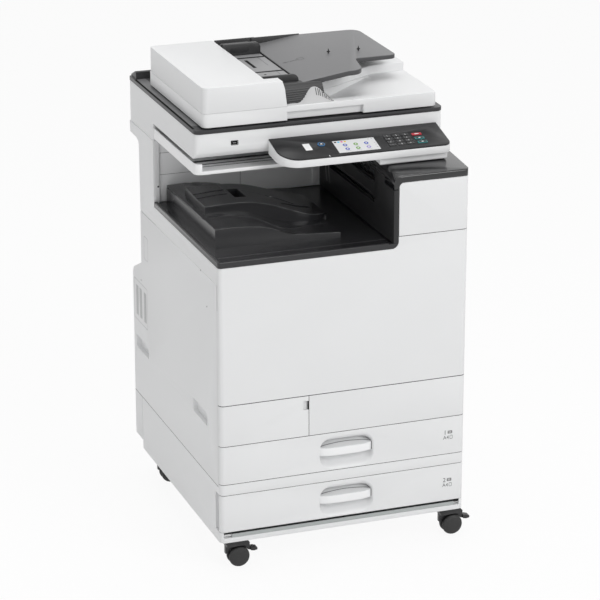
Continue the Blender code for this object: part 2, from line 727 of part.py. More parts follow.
# --- Control panel ------------------------------------------------------------------------
PANEL_Z = Z_SCAN + 33.0  # height of the face's back edge
PANEL_X1 = HW - 17.5
PANEL_X0 = PANEL_X1 - PANEL_W
PANEL_Y0 = SCAN_Y - PANEL_D
PANEL_ROLL = math.atan(PANEL_SLOPE)
FACE_T = 3.0


def face_z(y):
    return PANEL_Z + PANEL_SLOPE * (y - SCAN_Y)


def panel_plan(inset):
    back = SCAN_Y - FIT
    corners = [
        (PANEL_X0 + inset, back, 0),
        (PANEL_X0 + inset, PANEL_Y0 + inset, 46 - inset),
        (PANEL_X1 - inset, PANEL_Y0 + inset, 16 - inset),
        (PANEL_X1 - inset, back, 0),
    ]
    return rounded(corners, 8)


def panel_body():
    def shell(x, y, z):
        if z > 0.5:
            return (x, y, face_z(y) - FACE_T - FIT)
        return (x, y, Z_SCAN - 10.5 + 9.5 * (y - PANEL_Y0) / PANEL_D)

    tray = mapped(prism(panel_plan(0), 0, 1), shell)
    x0, x1 = PANEL_X1 - 168, PANEL_X1 - 7
    y0, y1 = PANEL_Y0 + 10, SCAN_Y - FIT
    (ya, lift_a), (yb, lift_b) = CAP_RISE[1:3]
    start = lift_a + (lift_b - lift_a) * (y0 - ya) / (yb - ya)
    rest = CAP_Z + 14 + FIT * 2
    side = [(y0, rest + start), (yb, rest + lift_b), (y1, rest + lift_b)]
    side += [(y1, Z_SCAN - 5), (y0, Z_SCAN - 5)]
    block = prism(side, x0, x1, "x")
    part("panel_body", WHITE, [tray, block])


def on_face(x, v, n):
    """Point at x, v millimetres down the face from its back edge, n above the face."""
    c, s = math.cos(PANEL_ROLL), math.sin(PANEL_ROLL)
    return (x, SCAN_Y - v * c - n * s, PANEL_Z - v * s + n * c)


def face_box(x, v, half_x, half_v, low, high, radius=0.0):
    outline = rectangle(x - half_x, x + half_x, v - half_v, v + half_v, (radius,) * 4, 2)
    return mapped(prism(outline, low, high), on_face)


def face_disc(x, v, radius, low, high):
    return mapped(cylinder((x, v, 0), radius, low, high, "z", 24), on_face)


PAD_X = PANEL_X1 - 133.5
PAD_V = 40.0
PAD_DX = 21.3
PAD_DV = 12.4
KEY_HX = 8.5
KEY_HV = 4.7
KEY_NAMES = ("1", "2", "3", "4", "5", "6", "7", "8", "9", "star", "0", "hash")
SCREEN_AT = (PANEL_X1 - 214.5, 63.5, 48.7, 25.7)
SIDE_KEYS = (
    ("key_stop", RED, PANEL_X1 - 64, 42.7, 11.5, 4.4),
    ("key_start_mono", TEAL, PANEL_X1 - 63.5, 59.9, 11, 4.6),
    ("key_start_colour", TEAL, PANEL_X1 - 62.5, 77.3, 11, 4.6),
)
HOME_AT = (PANEL_X1 - 290.7, 44.7, 8.4)


def key_spots():
    spots = []
    for i, name in enumerate(KEY_NAMES):
        x = PAD_X + PAD_DX * (i % 3)
        v = PAD_V + PAD_DV * (i // 3)
        spots.append(("key_" + name, DARK, x, v, KEY_HX, KEY_HV))
    return spots + list(SIDE_KEYS)


def panel_face():
    def skin(x, y, z):
        return (x, y, face_z(y) - (FACE_T if z < 0.5 else 0))

    plate = mapped(prism(panel_plan(0.8), 0, 1), skin)
    cuts = []
    for _, _, x, v, hx, hv in key_spots():
        cuts.append(face_box(x, v, hx + FIT, hv + FIT, -5, 2))
    x, v, hx, hv = SCREEN_AT
    cuts.append(face_box(x, v, hx + FIT, hv + FIT, -5, 2))
    x, v, r = HOME_AT
    cuts.append(face_disc(x, v, r + FIT, -5, 2))
    part("panel_face", GLOSS, [plate], cuts)


def keys():
    for name, spec, x, v, hx, hv in key_spots():
        shape = face_box(x, v, hx, hv, -1.9, 1.0, 1.0)
        part(name, spec, [shape], origin=on_face(x, v, 0))
    x, v, r = HOME_AT
    part("key_home", BLUE, [face_disc(x, v, r, -1.9, 0.9)], origin=on_face(x, v, 0))
    x, v, hx, hv = SCREEN_AT
    part("touch_screen", SCREEN, [face_box(x, v, hx, hv, -2.8, 0.3)])


# --- Document feeder ----------------------------------------------------------------------
LID_X0 = -HW + 20.5
LID_X1 = HW - 14.5
LID_Y0 = SCAN_Y + 1.5
LID_Y1 = SCAN_BACK - 100
FEED_X1 = LID_X0 + FEED_W
CHEEK_X = LID_X0 + 195
HINGE_Y = SCAN_BACK - 50
HINGE_Z = Z_FRAME + 11
TABLE_Z = Z_SEAM + 38
TABLE_X = LID_X0 + 244
TRAY_X0 = TABLE_X + FIT * 2
TRAY_X1 = LID_X1 - 44
TRAY_FLAT_X = TRAY_X0 + 111
TRAY_Y0 = LID_Y0 + 40
TRAY_Y1 = LID_Y1 - 8
GUIDE_MID = (LID_Y0 + LID_Y1) / 2 + 6.75
GUIDE_REACH = (LID_Y1 - LID_Y0) / 2 - 49.75  # half the distance over the paper guides


def platen_cover():
    z0, z1 = Z_PLATEN, Z_SEAM
    slab = prism(rectangle(LID_X0, LID_X1, LID_Y0, LID_Y1, (14, 14, 8, 8)), z0, z1)
    right = LID_X1
    ridge = [
        (CHEEK_X - 2, LID_Y0 + 104),
        (CHEEK_X + 122, LID_Y0 + 104),
        (right - 84, LID_Y0 + 196),
        (right, LID_Y0 + 204),
        (right, LID_Y1),
        (CHEEK_X - 2, LID_Y1),
    ]
    core = [
        (LID_X0 + 11, z1 - 2),
        (LID_X0 + 11, z1 + 26),
        (FEED_X1 - 9, z1 + 26),
        (FEED_X1 + 3, TABLE_Z),
        (TABLE_X, TABLE_Z),
        (TABLE_X, TABLE_Z - 7),
        (CHEEK_X, z1 + 26),
        (CHEEK_X, z1 - 2),
    ]
    adds = [
        slab,
        prism(ridge, z1 - 2, z1 + 20),
        prism(core, LID_Y0 + 34, LID_Y1 - 16, "y"),
        box(GLASS_X[0] + 3, GLASS_X[1] - 3, LID_Y0 + 32, GLASS_Y[1] - 3, Z_FRAME + 0.4, z0 + 1),
    ]
    for side in (-1, 1):
        x = side * ARM_X
        arm = [(LID_Y1 - 4, z0 + 0.5), (HINGE_Y, z0 + 0.5), (HINGE_Y + 6, HINGE_Z - 3)]
        arm += [(HINGE_Y + 6, HINGE_Z + 3), (HINGE_Y, HINGE_Z + 7), (LID_Y1 - 4, z1 - 5)]
        adds.append(prism(arm, x - 22, x + 22, "x"))

    def sink(x, y, z):
        if z > 0.5:
            return (x, y, z1 + 30)
        return (x, y, z0 + 9 + 22.5 * (x - CHEEK_X - 118) / 150)

    well = [
        (CHEEK_X + 118, LID_Y0 + 29),
        (CHEEK_X + 268, LID_Y0 + 29),
        (CHEEK_X + 268, LID_Y0 + 184),
        (CHEEK_X + 118, LID_Y0 + 101),
    ]
    cuts = [
        box(CHEEK_X, CHEEK_X + 180, LID_Y0 - 1, LID_Y0 + 11, Z_PLATEN - 5, Z_PLATEN + 19),
        mapped(prism(well, 0, 1), sink),
        box(CHEEK_X + 1, CHEEK_X + 114, LID_Y0 + 12, LID_Y0 + 103, z1 - 17, z1 + 5),
    ]
    part("platen_cover", WHITE, adds, cuts, origin=(0, HINGE_Y, HINGE_Z))


ROLLER = (FEED_X1 - 19, GUIDE_MID, Z_SEAM + 44)


def feed_cover():
    z0, z1 = Z_SEAM + FIT * 2, Z_FEEDER
    y0, y1 = LID_Y0 - 0.5, LID_Y1 - 4
    shell = prism(rectangle(LID_X0, FEED_X1, y0, y1, (14, 0, 0, 10)), z0, z1)
    cheek = [
        (FEED_X1 - 10, z0),
        (CHEEK_X, z0),
        (CHEEK_X - 5, z1 - 18),
        (CHEEK_X - 11, z1),
        (FEED_X1 - 10, z1),
    ]
    front = prism(cheek, y0, y0 + 32, "y")
    inner = rectangle(LID_X0 + 3.5, FEED_X1 - 3.5, y0 + 4, y1 - 4, (11, 0, 0, 7))
    room = prism(inner, z0 - 1, z1 - 4)
    side = box(FEED_X1 - 5, CHEEK_X - 4, y0 + 4, y0 + 28.5, z0 - 1, z1 - 22)
    mouth = box(FEED_X1 - 5, FEED_X1 + 1, y0 + 33, y1 - 4, z0 - 1, z1 - 11)
    body = part("feed_cover", WHITE, [shell, front], [room, side, mouth], origin=(LID_X0, y0, z0))
    x, y, z = ROLLER
    for end in (-42, 42):
        cheek_block = box(x - 8, x + 8, y + end - 3, y + end + 3, z - 5, z1 - 3)
        combine(body, cheek_block, "UNION")
        combine(body, cylinder((x, y, z), 3.25, end - 5, end + 5, "y", 16), "DIFFERENCE")


def feed_roller():
    profile = [(-44, 2.9), (-37, 2.9), (-37, 9), (37, 9), (37, 2.9), (44, 2.9)]
    part("feed_roller", RUBBER, [lathe(profile, ROLLER, "y", 20)], origin=ROLLER)


def document_tray():
    z_end = Z_FEEDER - 2
    z_start = TABLE_Z + 3
    t = 12.0
    outline = [
        (TRAY_X0, z_start),
        (TRAY_FLAT_X, z_end),
        (TRAY_X1, z_end),
        (TRAY_X1, z_end - t + 2),
        (TRAY_FLAT_X, z_end - t),
        (TRAY_X0, z_start - t),
    ]
    plate = prism(outline, TRAY_Y0, TRAY_Y1, "y")
    step = TRAY_Y0 + 98
    plan = rounded(
        [
            (TRAY_X0 - 1, TRAY_Y0, 0),
            (TRAY_FLAT_X + 34, TRAY_Y0, 30),
            (TRAY_FLAT_X + 52, step, 12),
            (TRAY_X1, step, 14),
            (TRAY_X1, TRAY_Y1, 26),
            (TRAY_X0 - 1, TRAY_Y1, 0),
        ]
    )
    keep = prism(plan, z_start - 30, z_end + 10)
    pivot = (TRAY_X0, (TRAY_Y0 + TRAY_Y1) / 2, z_start)
    part("document_tray", GREY, [plate], keep=[keep], origin=pivot)


def guides():
    x0, x1 = FEED_X1 + 4, TABLE_X - 2
    z = TABLE_Z + FIT
    for name, side, top in (("front_guide", -1, 17), ("rear_guide", 1, 22)):
        far = GUIDE_MID + side * GUIDE_REACH
        near = far - side * 7
        wall_y = sorted((far, near))
        foot_y = sorted((far, far - side * 34))
        outline = [(x0, z), (x1, z), (x1, z + 6), (x1 - 12, z + top - 3)]
        outline += [(x1 - 18, z + top), (x0 + 3, z + top), (x0, z + top - 3)]
        wall = prism(outline, *wall_y, "y")
        foot = box(x0, x1, *foot_y, z, z + 2.2)
        part(name, DARK, [wall, foot], origin=(x0, far, z))


# --- Casters ------------------------------------------------------------------------------
PIVOT_X = HW - 33.0
PIVOT_Y = (45.0, BANK_D - 40.0)


def caster(tag, x, y, braked):
    hub = x + CASTER_TRAIL
    top = Z_BASE - FIT
    r = WHEEL_R
    low = 2 * r + 3
    high = low + 14
    mid = (low + high) / 2
    web = [(-r - 6.5, r + 8.5), (-r - 6.5, mid - 1), (-r + 0.5, high), (r - 8.5, high), (r - 1.5, mid)]
    web += [(r - 1.5, low - 1), (r - 10.5, low - 1), (r - 10.5, r - 2.5), (7, r - 7.5)]
    web += [(-7, r - 7.5), (-r + 6.5, r - 0.5), (-r - 1.5, r + 8.5)]
    hood = [(-r - 6.5, low), (-r - 6.5, mid - 1), (-r + 0.5, high), (r - 8.5, high), (r - 1.5, mid)]
    hood += [(r - 1.5, low - 0.5), (r - 10.5, low - 0.5), (8, low + 1), (-8, low + 1), (-14, low)]
    adds = [
        prism([(hub + a, b) for a, b in web], y - 4.6, y + 4.6, "y"),
        prism([(hub + a, b) for a, b in hood], y - 16, y + 16, "y"),
        cylinder((x, y, 0), 9, high - 6, top - 3, "z", 20),
        cylinder((x, y, 0), 19, top - 5, top, "z", 24),
    ]
    hole = cylinder((hub, y, r), 5.3, -7, 7, "y", 20)
    part("caster_fork_" + tag, DARK, adds, [hole], origin=(x, y, top))
    half = [(16.6, 12), (15.6, r - 5), (13, r - 1.2), (10, r), (7.5, r - 0.4), (5.4, r - 3)]
    left = [(-16, 4)] + [(-a, b) for a, b in half] + [(-5.2, 5)]
    profile = left + [(-a, b) for a, b in reversed(left)]
    part("caster_wheel_" + tag, RUBBER, [lathe(profile, (hub, y, r), "y", 28)], origin=(hub, y, r))
    if not braked:
        return
    pin = (hub + r - 5, y, r + 20.5)
    pad = [(r + 4, r + 9.5), (r + 4, r + 16.5), (r + 11.5, r + 17), (LEVER, r + 14.5)]
    pad += [(LEVER, r + 9.5), (r + 11.5, r + 8)]
    blade = [(r - 9, r + 17.5), (r - 7.5, r + 24), (r - 1.5, r + 24), (r + 6.5, r + 16.5)]
    blade += [(r + 6.5, r + 9.5), (r - 0.5, r + 10.5)]
    adds = [
        prism([(hub + a, b) for a, b in pad], y - 8, y + 8, "y"),
        prism([(hub + a, b) for a, b in blade], y - 4, y + 4, "y"),
        cylinder(pin, 5, -4, 4, "y", 24),
    ]
    part("brake_lever_" + tag, DARK, adds, origin=pin)


def casters():
    y0, y1 = PIVOT_Y
    caster("front_left", -PIVOT_X, y0, True)
    caster("front_right", PIVOT_X, y0, True)
    caster("rear_left", -PIVOT_X, y1, False)
    caster("rear_right", PIVOT_X, y1, False)


bank_frame()
drawer("lower_drawer", Z_LOW, DRAWER_H, BANK_FLOOR)
bank_door()
main_frame()
drawer("upper_drawer", Z_UP, UPPER_H, Z_UP - SEAM)
left_cover()
left_upper_cover()
rear_cover()
right_cover()
right_door()
bypass_tray()
front_cover()
toner_cover()
lower_covers()
toner_rack()
exit_tray()
exit_back_wall()
tower_inner_cover()
tower_top_cover()
scanner_body()
scanner_top_frame()
platen_glass()
scan_carriage()
shelf_tray()
panel_body()
panel_face()
keys()
platen_cover()
feed_cover()
feed_roller()
document_tray()
guides()
casters()

# The bounding box runs from the left cover to the brake lever's tip, and from the front
# covers to the back of the scanner's frame.
LEVER_X = PIVOT_X + CASTER_TRAIL + LEVER
CENTRE = Vector(((LEVER_X - HW) / 2, (SCAN_BACK + 0.8) / 2, 0)) * MM
for made in PARTS:
    made.location = made.location - CENTRE
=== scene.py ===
"""Office photocopier: finished covers, trays, glass, keys and casters on the fixed frame.

Lengths are in millimetres in the machine's own frame: X = 0 the middle of the body, Y = 0 the
plane of the front covers, Z = 0 the floor. at() carries them to the frame in metres.
"""

import json
import math

import bmesh
import bpy
import numpy as np
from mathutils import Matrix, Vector

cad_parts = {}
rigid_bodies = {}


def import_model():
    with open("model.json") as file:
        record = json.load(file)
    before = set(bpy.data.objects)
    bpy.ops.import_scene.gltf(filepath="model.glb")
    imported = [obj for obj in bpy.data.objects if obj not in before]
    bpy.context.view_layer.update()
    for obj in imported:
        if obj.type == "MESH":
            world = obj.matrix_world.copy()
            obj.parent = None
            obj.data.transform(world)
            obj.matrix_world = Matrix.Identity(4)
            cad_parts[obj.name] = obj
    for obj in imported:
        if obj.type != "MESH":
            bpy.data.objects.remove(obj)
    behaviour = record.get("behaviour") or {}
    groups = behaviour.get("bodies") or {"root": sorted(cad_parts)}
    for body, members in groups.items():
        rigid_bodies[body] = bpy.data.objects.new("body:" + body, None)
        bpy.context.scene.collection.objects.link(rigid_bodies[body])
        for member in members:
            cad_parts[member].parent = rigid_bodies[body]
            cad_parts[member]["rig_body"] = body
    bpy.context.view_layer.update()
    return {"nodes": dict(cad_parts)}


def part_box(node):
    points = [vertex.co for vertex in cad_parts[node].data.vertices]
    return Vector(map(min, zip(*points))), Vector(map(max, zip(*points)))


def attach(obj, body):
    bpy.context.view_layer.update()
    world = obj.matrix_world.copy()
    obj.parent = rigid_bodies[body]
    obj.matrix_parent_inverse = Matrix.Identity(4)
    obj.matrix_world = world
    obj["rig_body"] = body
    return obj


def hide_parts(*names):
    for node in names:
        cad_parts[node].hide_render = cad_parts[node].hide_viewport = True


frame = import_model()
scene = bpy.context.scene
body_low, body_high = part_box("bank_frame")
MIDDLE = np.array([(body_low.x + body_high.x) / 2, body_low.y, 0.0])
BODY_OF = {node: o["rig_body"] for node, o in frame["nodes"].items()}


def at(points):
    """Millimetres in the machine's frame to metres in the scene: scaled, then shifted."""
    return np.asarray(points, float) * 0.001 + MIDDLE


def box_mm(node):
    """Lowest and highest corner of a node in the machine's millimetres."""
    low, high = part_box(node)
    return (np.array(low) - MIDDLE) * 1000, (np.array(high) - MIDDLE) * 1000


# --- Finishes -----------------------------------------------------------------------------
def shader_of(name, colour, roughness, **extra):
    """A Principled material with its even values set on the sockets themselves."""
    made = bpy.data.materials.new(name)
    made.use_nodes = True
    shader = made.node_tree.nodes["Principled BSDF"]
    shader.inputs["Base Color"].default_value = (*colour, 1.0)
    shader.inputs["Roughness"].default_value = roughness
    for socket, value in extra.items():
        shader.inputs[socket.replace("_", " ")].default_value = value
    return made, made.node_tree, shader


def grained(name, colour, roughness, grain_mm=0.6, depth=0.05, mottle=0.015, **extra):
    """Moulded plastic: a fine spark-eroded grain in the bump, and a slow drift in tone and gloss.

    Tone = colour times (1 + mottle * noise); roughness = level + 0.05 * noise.
    """
    made, tree, shader = shader_of(name, colour, roughness, **extra)
    nodes, links = tree.nodes, tree.links
    place = nodes.new("ShaderNodeTexCoord")

    def noise(scale, detail):
        node = nodes.new("ShaderNodeTexNoise")
        node.inputs["Scale"].default_value = scale
        node.inputs["Detail"].default_value = detail
        links.new(place.outputs["Object"], node.inputs["Vector"])
        return node.outputs["Fac"]

    def spread(value, level, reach):
        node = nodes.new("ShaderNodeMapRange")
        node.inputs["To Min"].default_value = level - reach
        node.inputs["To Max"].default_value = level + reach
        links.new(value, node.inputs["Value"])
        return node.outputs["Result"]

    bump = nodes.new("ShaderNodeBump")
    bump.inputs["Strength"].default_value = 0.35
    bump.inputs["Distance"].default_value = depth * 0.001
    links.new(noise(500.0 / grain_mm, 2.0), bump.inputs["Height"])
    links.new(bump.outputs["Normal"], shader.inputs["Normal"])
    drift = noise(6.0, 3.0)
    shade = nodes.new("ShaderNodeVectorMath")
    shade.operation = "SCALE"
    shade.inputs[0].default_value = colour
    links.new(spread(drift, 1.0, mottle), shade.inputs["Scale"])
    links.new(shade.outputs["Vector"], shader.inputs["Base Color"])
    links.new(spread(drift, roughness, 0.05), shader.inputs["Roughness"])
    return made


COVER_WHITE = grained("cover_white", (0.80, 0.805, 0.81), 0.42)
INNER_WHITE = grained("inner_white", (0.86, 0.865, 0.87), 0.5)
TRAY_BLACK = grained("tray_black", (0.022, 0.022, 0.024), 0.24, 0.9, 0.03, 0.06)
WALL_BLACK = grained("wall_black", (0.010, 0.010, 0.011), 0.45, 0.9, 0.1, 0.06)
RIM_BLACK = grained("rim_black", (0.036, 0.036, 0.038), 0.4, 0.7, 0.06, 0.06)
FRAME_BLACK = grained("frame_black", (0.022, 0.022, 0.024), 0.36, 0.7, 0.06, 0.06)
PANEL_BLACK = grained(
    "panel_black", (0.009, 0.009, 0.010), 0.3, 0.7, 0.01, 0.05, Specular_IOR_Level=0.28
)
CAP_BLACK = grained(
    "cap_black", (0.006, 0.006, 0.007), 0.16, 0.7, 0.004, 0.05, Specular_IOR_Level=0.7
)
TABLE_GREY = grained("table_grey", (0.27, 0.27, 0.275), 0.45, 0.9, 0.05, 0.03)
VENT_GREY = grained("vent_grey", (0.3, 0.3, 0.305), 0.6, 0.6, 0.02, 0.03)
# Near-black for the sheets behind the front's joints: painted shade in those joints.
SEAM_SHADE = grained("seam_painted_shade", (0.02, 0.02, 0.02), 0.7, 0.9, 0.02, 0.03, Specular_IOR_Level=0.1)
# Darker white for the upward faces of the drawers' grip lids: painted shade.
LID_SHADE_WHITE = grained("grip_lid_painted_shade", (0.66, 0.665, 0.67), 0.42)
LIP_GREY = grained("lip_grey", (0.5, 0.5, 0.505), 0.45)
# Brighter white for the grip bars and the left side's joint: painted light against the shade of
# the dish and the joint.
PAINTED_LIGHT_WHITE = grained("white_with_painted_light", (0.9, 0.905, 0.91), 0.42)
SHELF_WHITE = grained("shelf_white", (0.92, 0.922, 0.925), 0.5)
# Lighter black for thin strands on the output tray's edges: painted highlights.
EDGE_HIGHLIGHT_BLACK = grained("painted_edge_highlight_black", (0.085, 0.085, 0.088), 0.25, 0.7, 0.02, 0.05)
GUIDE_BLACK = grained("guide_black", (0.024, 0.024, 0.025), 0.42, 0.7, 0.05, 0.05)
TRAY_GREY = grained("tray_grey", (0.16, 0.16, 0.164), 0.45, 0.9, 0.1, 0.04)
TRAY_SIDE = grained("tray_side_grey", (0.055, 0.055, 0.058), 0.45, 0.9, 0.1, 0.04)
KEY_DARK = grained("key_dark", (0.012, 0.012, 0.013), 0.4, 0.6, 0.02, 0.03)
STEEL = grained("sheet_steel", (0.42, 0.43, 0.44), 0.35, 1.2, 0.03, 0.03, Metallic=1.0)
BAR_GREY = grained("stabiliser_grey", (0.42, 0.445, 0.44), 0.45, 0.8, 0.05, 0.03)
WHEEL_RUBBER = grained("wheel_rubber", (0.022, 0.022, 0.022), 0.6, 1.2, 0.15, 0.1)
CASTER_BLACK = grained("caster_black", (0.018, 0.018, 0.019), 0.35, 0.8, 0.06, 0.06)
STOP_RED = grained("stop_red", (0.42, 0.015, 0.03), 0.4, 0.6, 0.02, 0.03)
START_TEAL = grained("start_teal", (0.01, 0.2, 0.2), 0.4, 0.6, 0.02, 0.03)
HOME_BLUE = grained("home_blue", (0.02, 0.13, 0.3), 0.35, 0.6, 0.02, 0.03)
MARK_GREY = grained("mark_grey", (0.17, 0.17, 0.175), 0.5, 0.6, 0.01, 0.02)
PRINT_GREY = grained("print_grey", (0.085, 0.085, 0.087), 0.5, 0.6, 0.01, 0.02)
MARK_WHITE = grained("mark_white", (0.75, 0.75, 0.75), 0.5, 0.6, 0.01, 0.02)
CARD_WHITE = grained("card_white", (0.8, 0.8, 0.8), 0.35, 0.6, 0.01, 0.02)
SCREW_DARK = grained("screw_dark", (0.06, 0.06, 0.06), 0.3, 0.6, 0.02, 0.03, Metallic=0.8)
SLOT_DARK = grained(
    "slot_dark", (0.005, 0.005, 0.005), 0.7, 0.6, 0.02, 0.03, Specular_IOR_Level=0.08
)
GLASS, _, _ = shader_of(
    "platen_glass_clear", (0.75, 0.85, 0.83), 0.03, Transmission_Weight=0.9, IOR=1.5
)


def glowing(name, colour, strength):
    """A lit display colour: a dark glossy coat over an even glow."""
    made, _, _ = shader_of(
        name,
        tuple(c * 0.4 for c in colour),
        0.25,
        Emission_Color=(*colour, 1.0),
        Emission_Strength=strength,
    )
    return made


SCREEN_WHITE = glowing("screen_white", (0.82, 0.83, 0.84), 0.42)
SCREEN_BLUE = glowing("screen_blue", (0.08, 0.12, 0.5), 0.5)
SCREEN_GREEN = glowing("screen_green", (0.16, 0.36, 0.06), 0.5)
SCREEN_LILAC = glowing("screen_lilac", (0.34, 0.28, 0.62), 0.5)
SCREEN_GREY = glowing("screen_grey", (0.5, 0.5, 0.52), 0.4)
INK_BLACK = glowing("ink_black", (0.02, 0.02, 0.02), 0.3)
INK_CYAN = glowing("ink_cyan", (0.0, 0.5, 0.8), 0.5)
INK_MAGENTA = glowing("ink_magenta", (0.8, 0.03, 0.3), 0.5)
INK_YELLOW = glowing("ink_yellow", (0.85, 0.55, 0.02), 0.5)


# --- Makers -------------------------------------------------------------------------------
def finish_mesh(name, mesh, finish, body, stands_for=()):
    """Puts a finished mesh in the scene, riding on its body."""
    mesh.materials.clear()
    mesh.materials.append(finish)
    piece = bpy.data.objects.new(name, mesh)
    scene.collection.objects.link(piece)
    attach(piece, body)
    if stands_for:
        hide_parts(*stands_for)
    return piece


def grid_faces(n, m, wrap_u=False, wrap_v=False):
    """Quads joining the neighbours of an n by m grid of points."""
    i = np.arange(n if wrap_u else n - 1)[:, None]
    j = np.arange(m if wrap_v else m - 1)[None, :]
    ni, nj = (i + 1) % n, (j + 1) % m
    quads = [i * m + j, ni * m + j, ni * m + nj, i * m + nj]
    return np.stack(np.broadcast_arrays(*quads), -1).reshape(-1, 4)


def surface(
    name, grids, finish, body="machine", closed=True, sharp=40
):
    """One piece from grids of points in mm, each (points, wrap_u, wrap_v).

    Neighbouring grid points are joined by quads, coincident points merged and the faces of
    a closed shell turned outwards.
    """
    points, faces, start = [], [], 0
    for grid, wrap_u, wrap_v in grids:
        grid = np.asarray(grid, float)
        n, m = grid.shape[:2]
        points.append(grid.reshape(-1, 3))
        faces.append(grid_faces(n, m, wrap_u, wrap_v) + start)
        start += n * m
    mesh = bpy.data.meshes.new(name)
    mesh.from_pydata(at(np.concatenate(points)).tolist(), [], np.concatenate(faces).tolist())
    shell = bmesh.new()
    shell.from_mesh(mesh)
    bmesh.ops.remove_doubles(shell, verts=shell.verts, dist=2e-6)
    bmesh.ops.dissolve_degenerate(shell, edges=shell.edges, dist=1e-7)
    if closed:
        bmesh.ops.recalc_face_normals(shell, faces=shell.faces)
    shell.to_mesh(mesh)
    shell.free()
    mesh.shade_smooth()
    mesh.set_sharp_from_angle(angle=math.radians(sharp))
    return finish_mesh(name, mesh, finish, body)


def relief(xs, ys, top, low, bent=None):
    """Grids of a closed block: height top(x, y) over xs by ys, straight walls, flat base at low.

    bent(x, y) moves the rows of constant y onto curves.
    """
    x = np.concatenate([xs[:1], xs, xs[-1:]])
    y = np.concatenate([ys[:1], ys, ys[-1:]])
    gx, gy = np.meshgrid(x, y, indexing="ij")
    if bent:
        gy = bent(gx, gy)
    gz = top(gx, gy)
    gz[[0, -1], :] = low
    gz[:, [0, -1]] = low
    upper = np.stack([gx, gy, gz], -1)
    base = np.stack([gx, gy, np.full_like(gx, low)], -1)
    return [(upper, False, False), (base[1:-1, 1:-1], False, False)]


def tube(rings):
    """Grids of a closed tube: rings of points joined in their order, both ends filled."""
    ends = [np.stack([ring, np.broadcast_to(ring.mean(0), ring.shape)]) for ring in rings[[0, -1]]]
    return [(grid, False, True) for grid in (rings, *ends)]


def carried(path, inward, across, up):
    """Rings of the section (across, up) at each point of a level path, across going inward."""
    flat = path[:, None, :] + inward[:, None, :] * across[None, :, None]
    height = np.broadcast_to(up[None, :, None], flat.shape[:2] + (1,))
    return np.concatenate([flat, height], -1)


def rounded_plan(x0, x1, y0, y1, r, steps=6, kx=0.0, ky=0.0):
    """Outline of a rounded rectangle; kx and ky draw its corners in, as ellipses, by that much."""
    turn = np.linspace(0, math.pi / 2, steps + 1)
    cx = np.array([x1 - r, x0 + r, x0 + r, x1 - r])
    cy = np.array([y1 - r, y1 - r, y0 + r, y0 + r])
    angle = turn[None, :] + np.arange(4)[:, None] * math.pi / 2
    x = cx[:, None] + (r - kx) * np.cos(angle)
    y = cy[:, None] + (r - ky) * np.sin(angle)
    return np.stack([x.ravel(), y.ravel()], -1)


def pillow(outline, low, high, edge, place, steps=4):
    """Grids of a slab over an outline, its top edge a quarter round of radius edge.

    Ring k of the rounding is the outline drawn to its middle by edge * (1 - cos t) and raised
    to high - edge * (1 - sin t); place maps (u, v, height) to a point.
    """
    outline = np.asarray(outline, float)
    middle = outline.mean(0)
    half = np.abs(outline - middle).max(0)
    rings = [(0.0, low)]
    for t in np.linspace(0, math.pi / 2, steps + 1):
        rings.append((edge * (1 - math.cos(t)), high - edge * (1 - math.sin(t))))
    grid = []
    for inset, level in rings:
        flat = middle + (outline - middle) * (1 - inset / half)
        grid.append(np.column_stack([flat, np.full(len(flat), level)]))
    for level, where in ((high, -1), (low, 0)):
        point = np.column_stack([np.tile(middle, (len(outline), 1)), np.full(len(outline), level)])
        grid = grid + [point] if where else [point] + grid
    grid = np.array(grid)
    return [(place(grid[..., 0], grid[..., 1], grid[..., 2]), False, True)]


def slab(x0, x1, y0, y1, r, steps, *rest):
    """Grids of a pillow over a rounded rectangle."""
    return pillow(rounded_plan(x0, x1, y0, y1, r, steps), *rest)


def banded(path, step, width, height, place, wrap):
    """Grid of a flat band: the path moved to both sides, square to its step."""
    step = step / np.maximum(np.linalg.norm(step, axis=1, keepdims=True), 1e-9)
    side = np.stack([step[:, 1], -step[:, 0]], -1) * width / 2
    both = np.stack([path + side, path - side])
    level = np.full(both.shape[:2], height)
    return [(place(both[..., 0], both[..., 1], level), False, wrap)]


def outlined(x0, x1, y0, y1, r, steps, width, height, place):
    """Flat band of the given width round a rounded rectangle, height above the surface."""
    path = rounded_plan(x0, x1, y0, y1, r, steps)
    step = np.roll(path, -1, 0) - np.roll(path, 1, 0)
    return banded(path, step, width, height, place, True)


def ribbon(path, width, height, place):
    """Flat band of the given width along an open path, height above the surface."""
    path = np.asarray(path, float)
    return banded(path, np.gradient(path, axis=0), width, height, place, False)


def studs(centres, radius, height, place, count):
    """Low round studs or filled holes: a pillow over a circle at each centre."""
    turn = np.linspace(0, 2 * math.pi, count, endpoint=False)
    out = []
    for u, v in centres:
        ring = np.stack([u + radius * np.cos(turn), v + radius * np.sin(turn)], -1)
        out += pillow(ring, 0.0, height, height * 0.8, place, 1)
    return out


def lying(level):
    """Places (x, y, height) on a level plane."""
    return lambda u, v, h: np.stack([u, v, level + h], -1)


def facing_front(depth):
    """Places (x, z, height) on a plane that faces the front."""
    return lambda u, v, h: np.stack([u, depth - h, v], -1)


def facing_left(depth):
    """Places (y, z, height) on the plane x = depth that faces left."""
    return lambda u, v, h: np.stack([depth - h, u, v], -1)


def facing_right(depth):
    """Places (y, z, height) on the plane x = depth that faces right."""
    return lambda u, v, h: np.stack([depth + h, u, v], -1)


def facing_back(depth):
    """Places (x, z, height) on a plane that faces the back."""
    return lambda u, v, h: np.stack([u, depth + h, v], -1)


def round_edges(piece, radius, segments, angle=28):
    """Rounds the edges sharper than angle with a radius in mm."""
    bevel = piece.modifiers.new("edge", "BEVEL")
    bevel.width = radius * 0.001
    bevel.segments = segments
    bevel.limit_method = "ANGLE"
    bevel.angle_limit = math.radians(angle)
    bevel.harden_normals = True


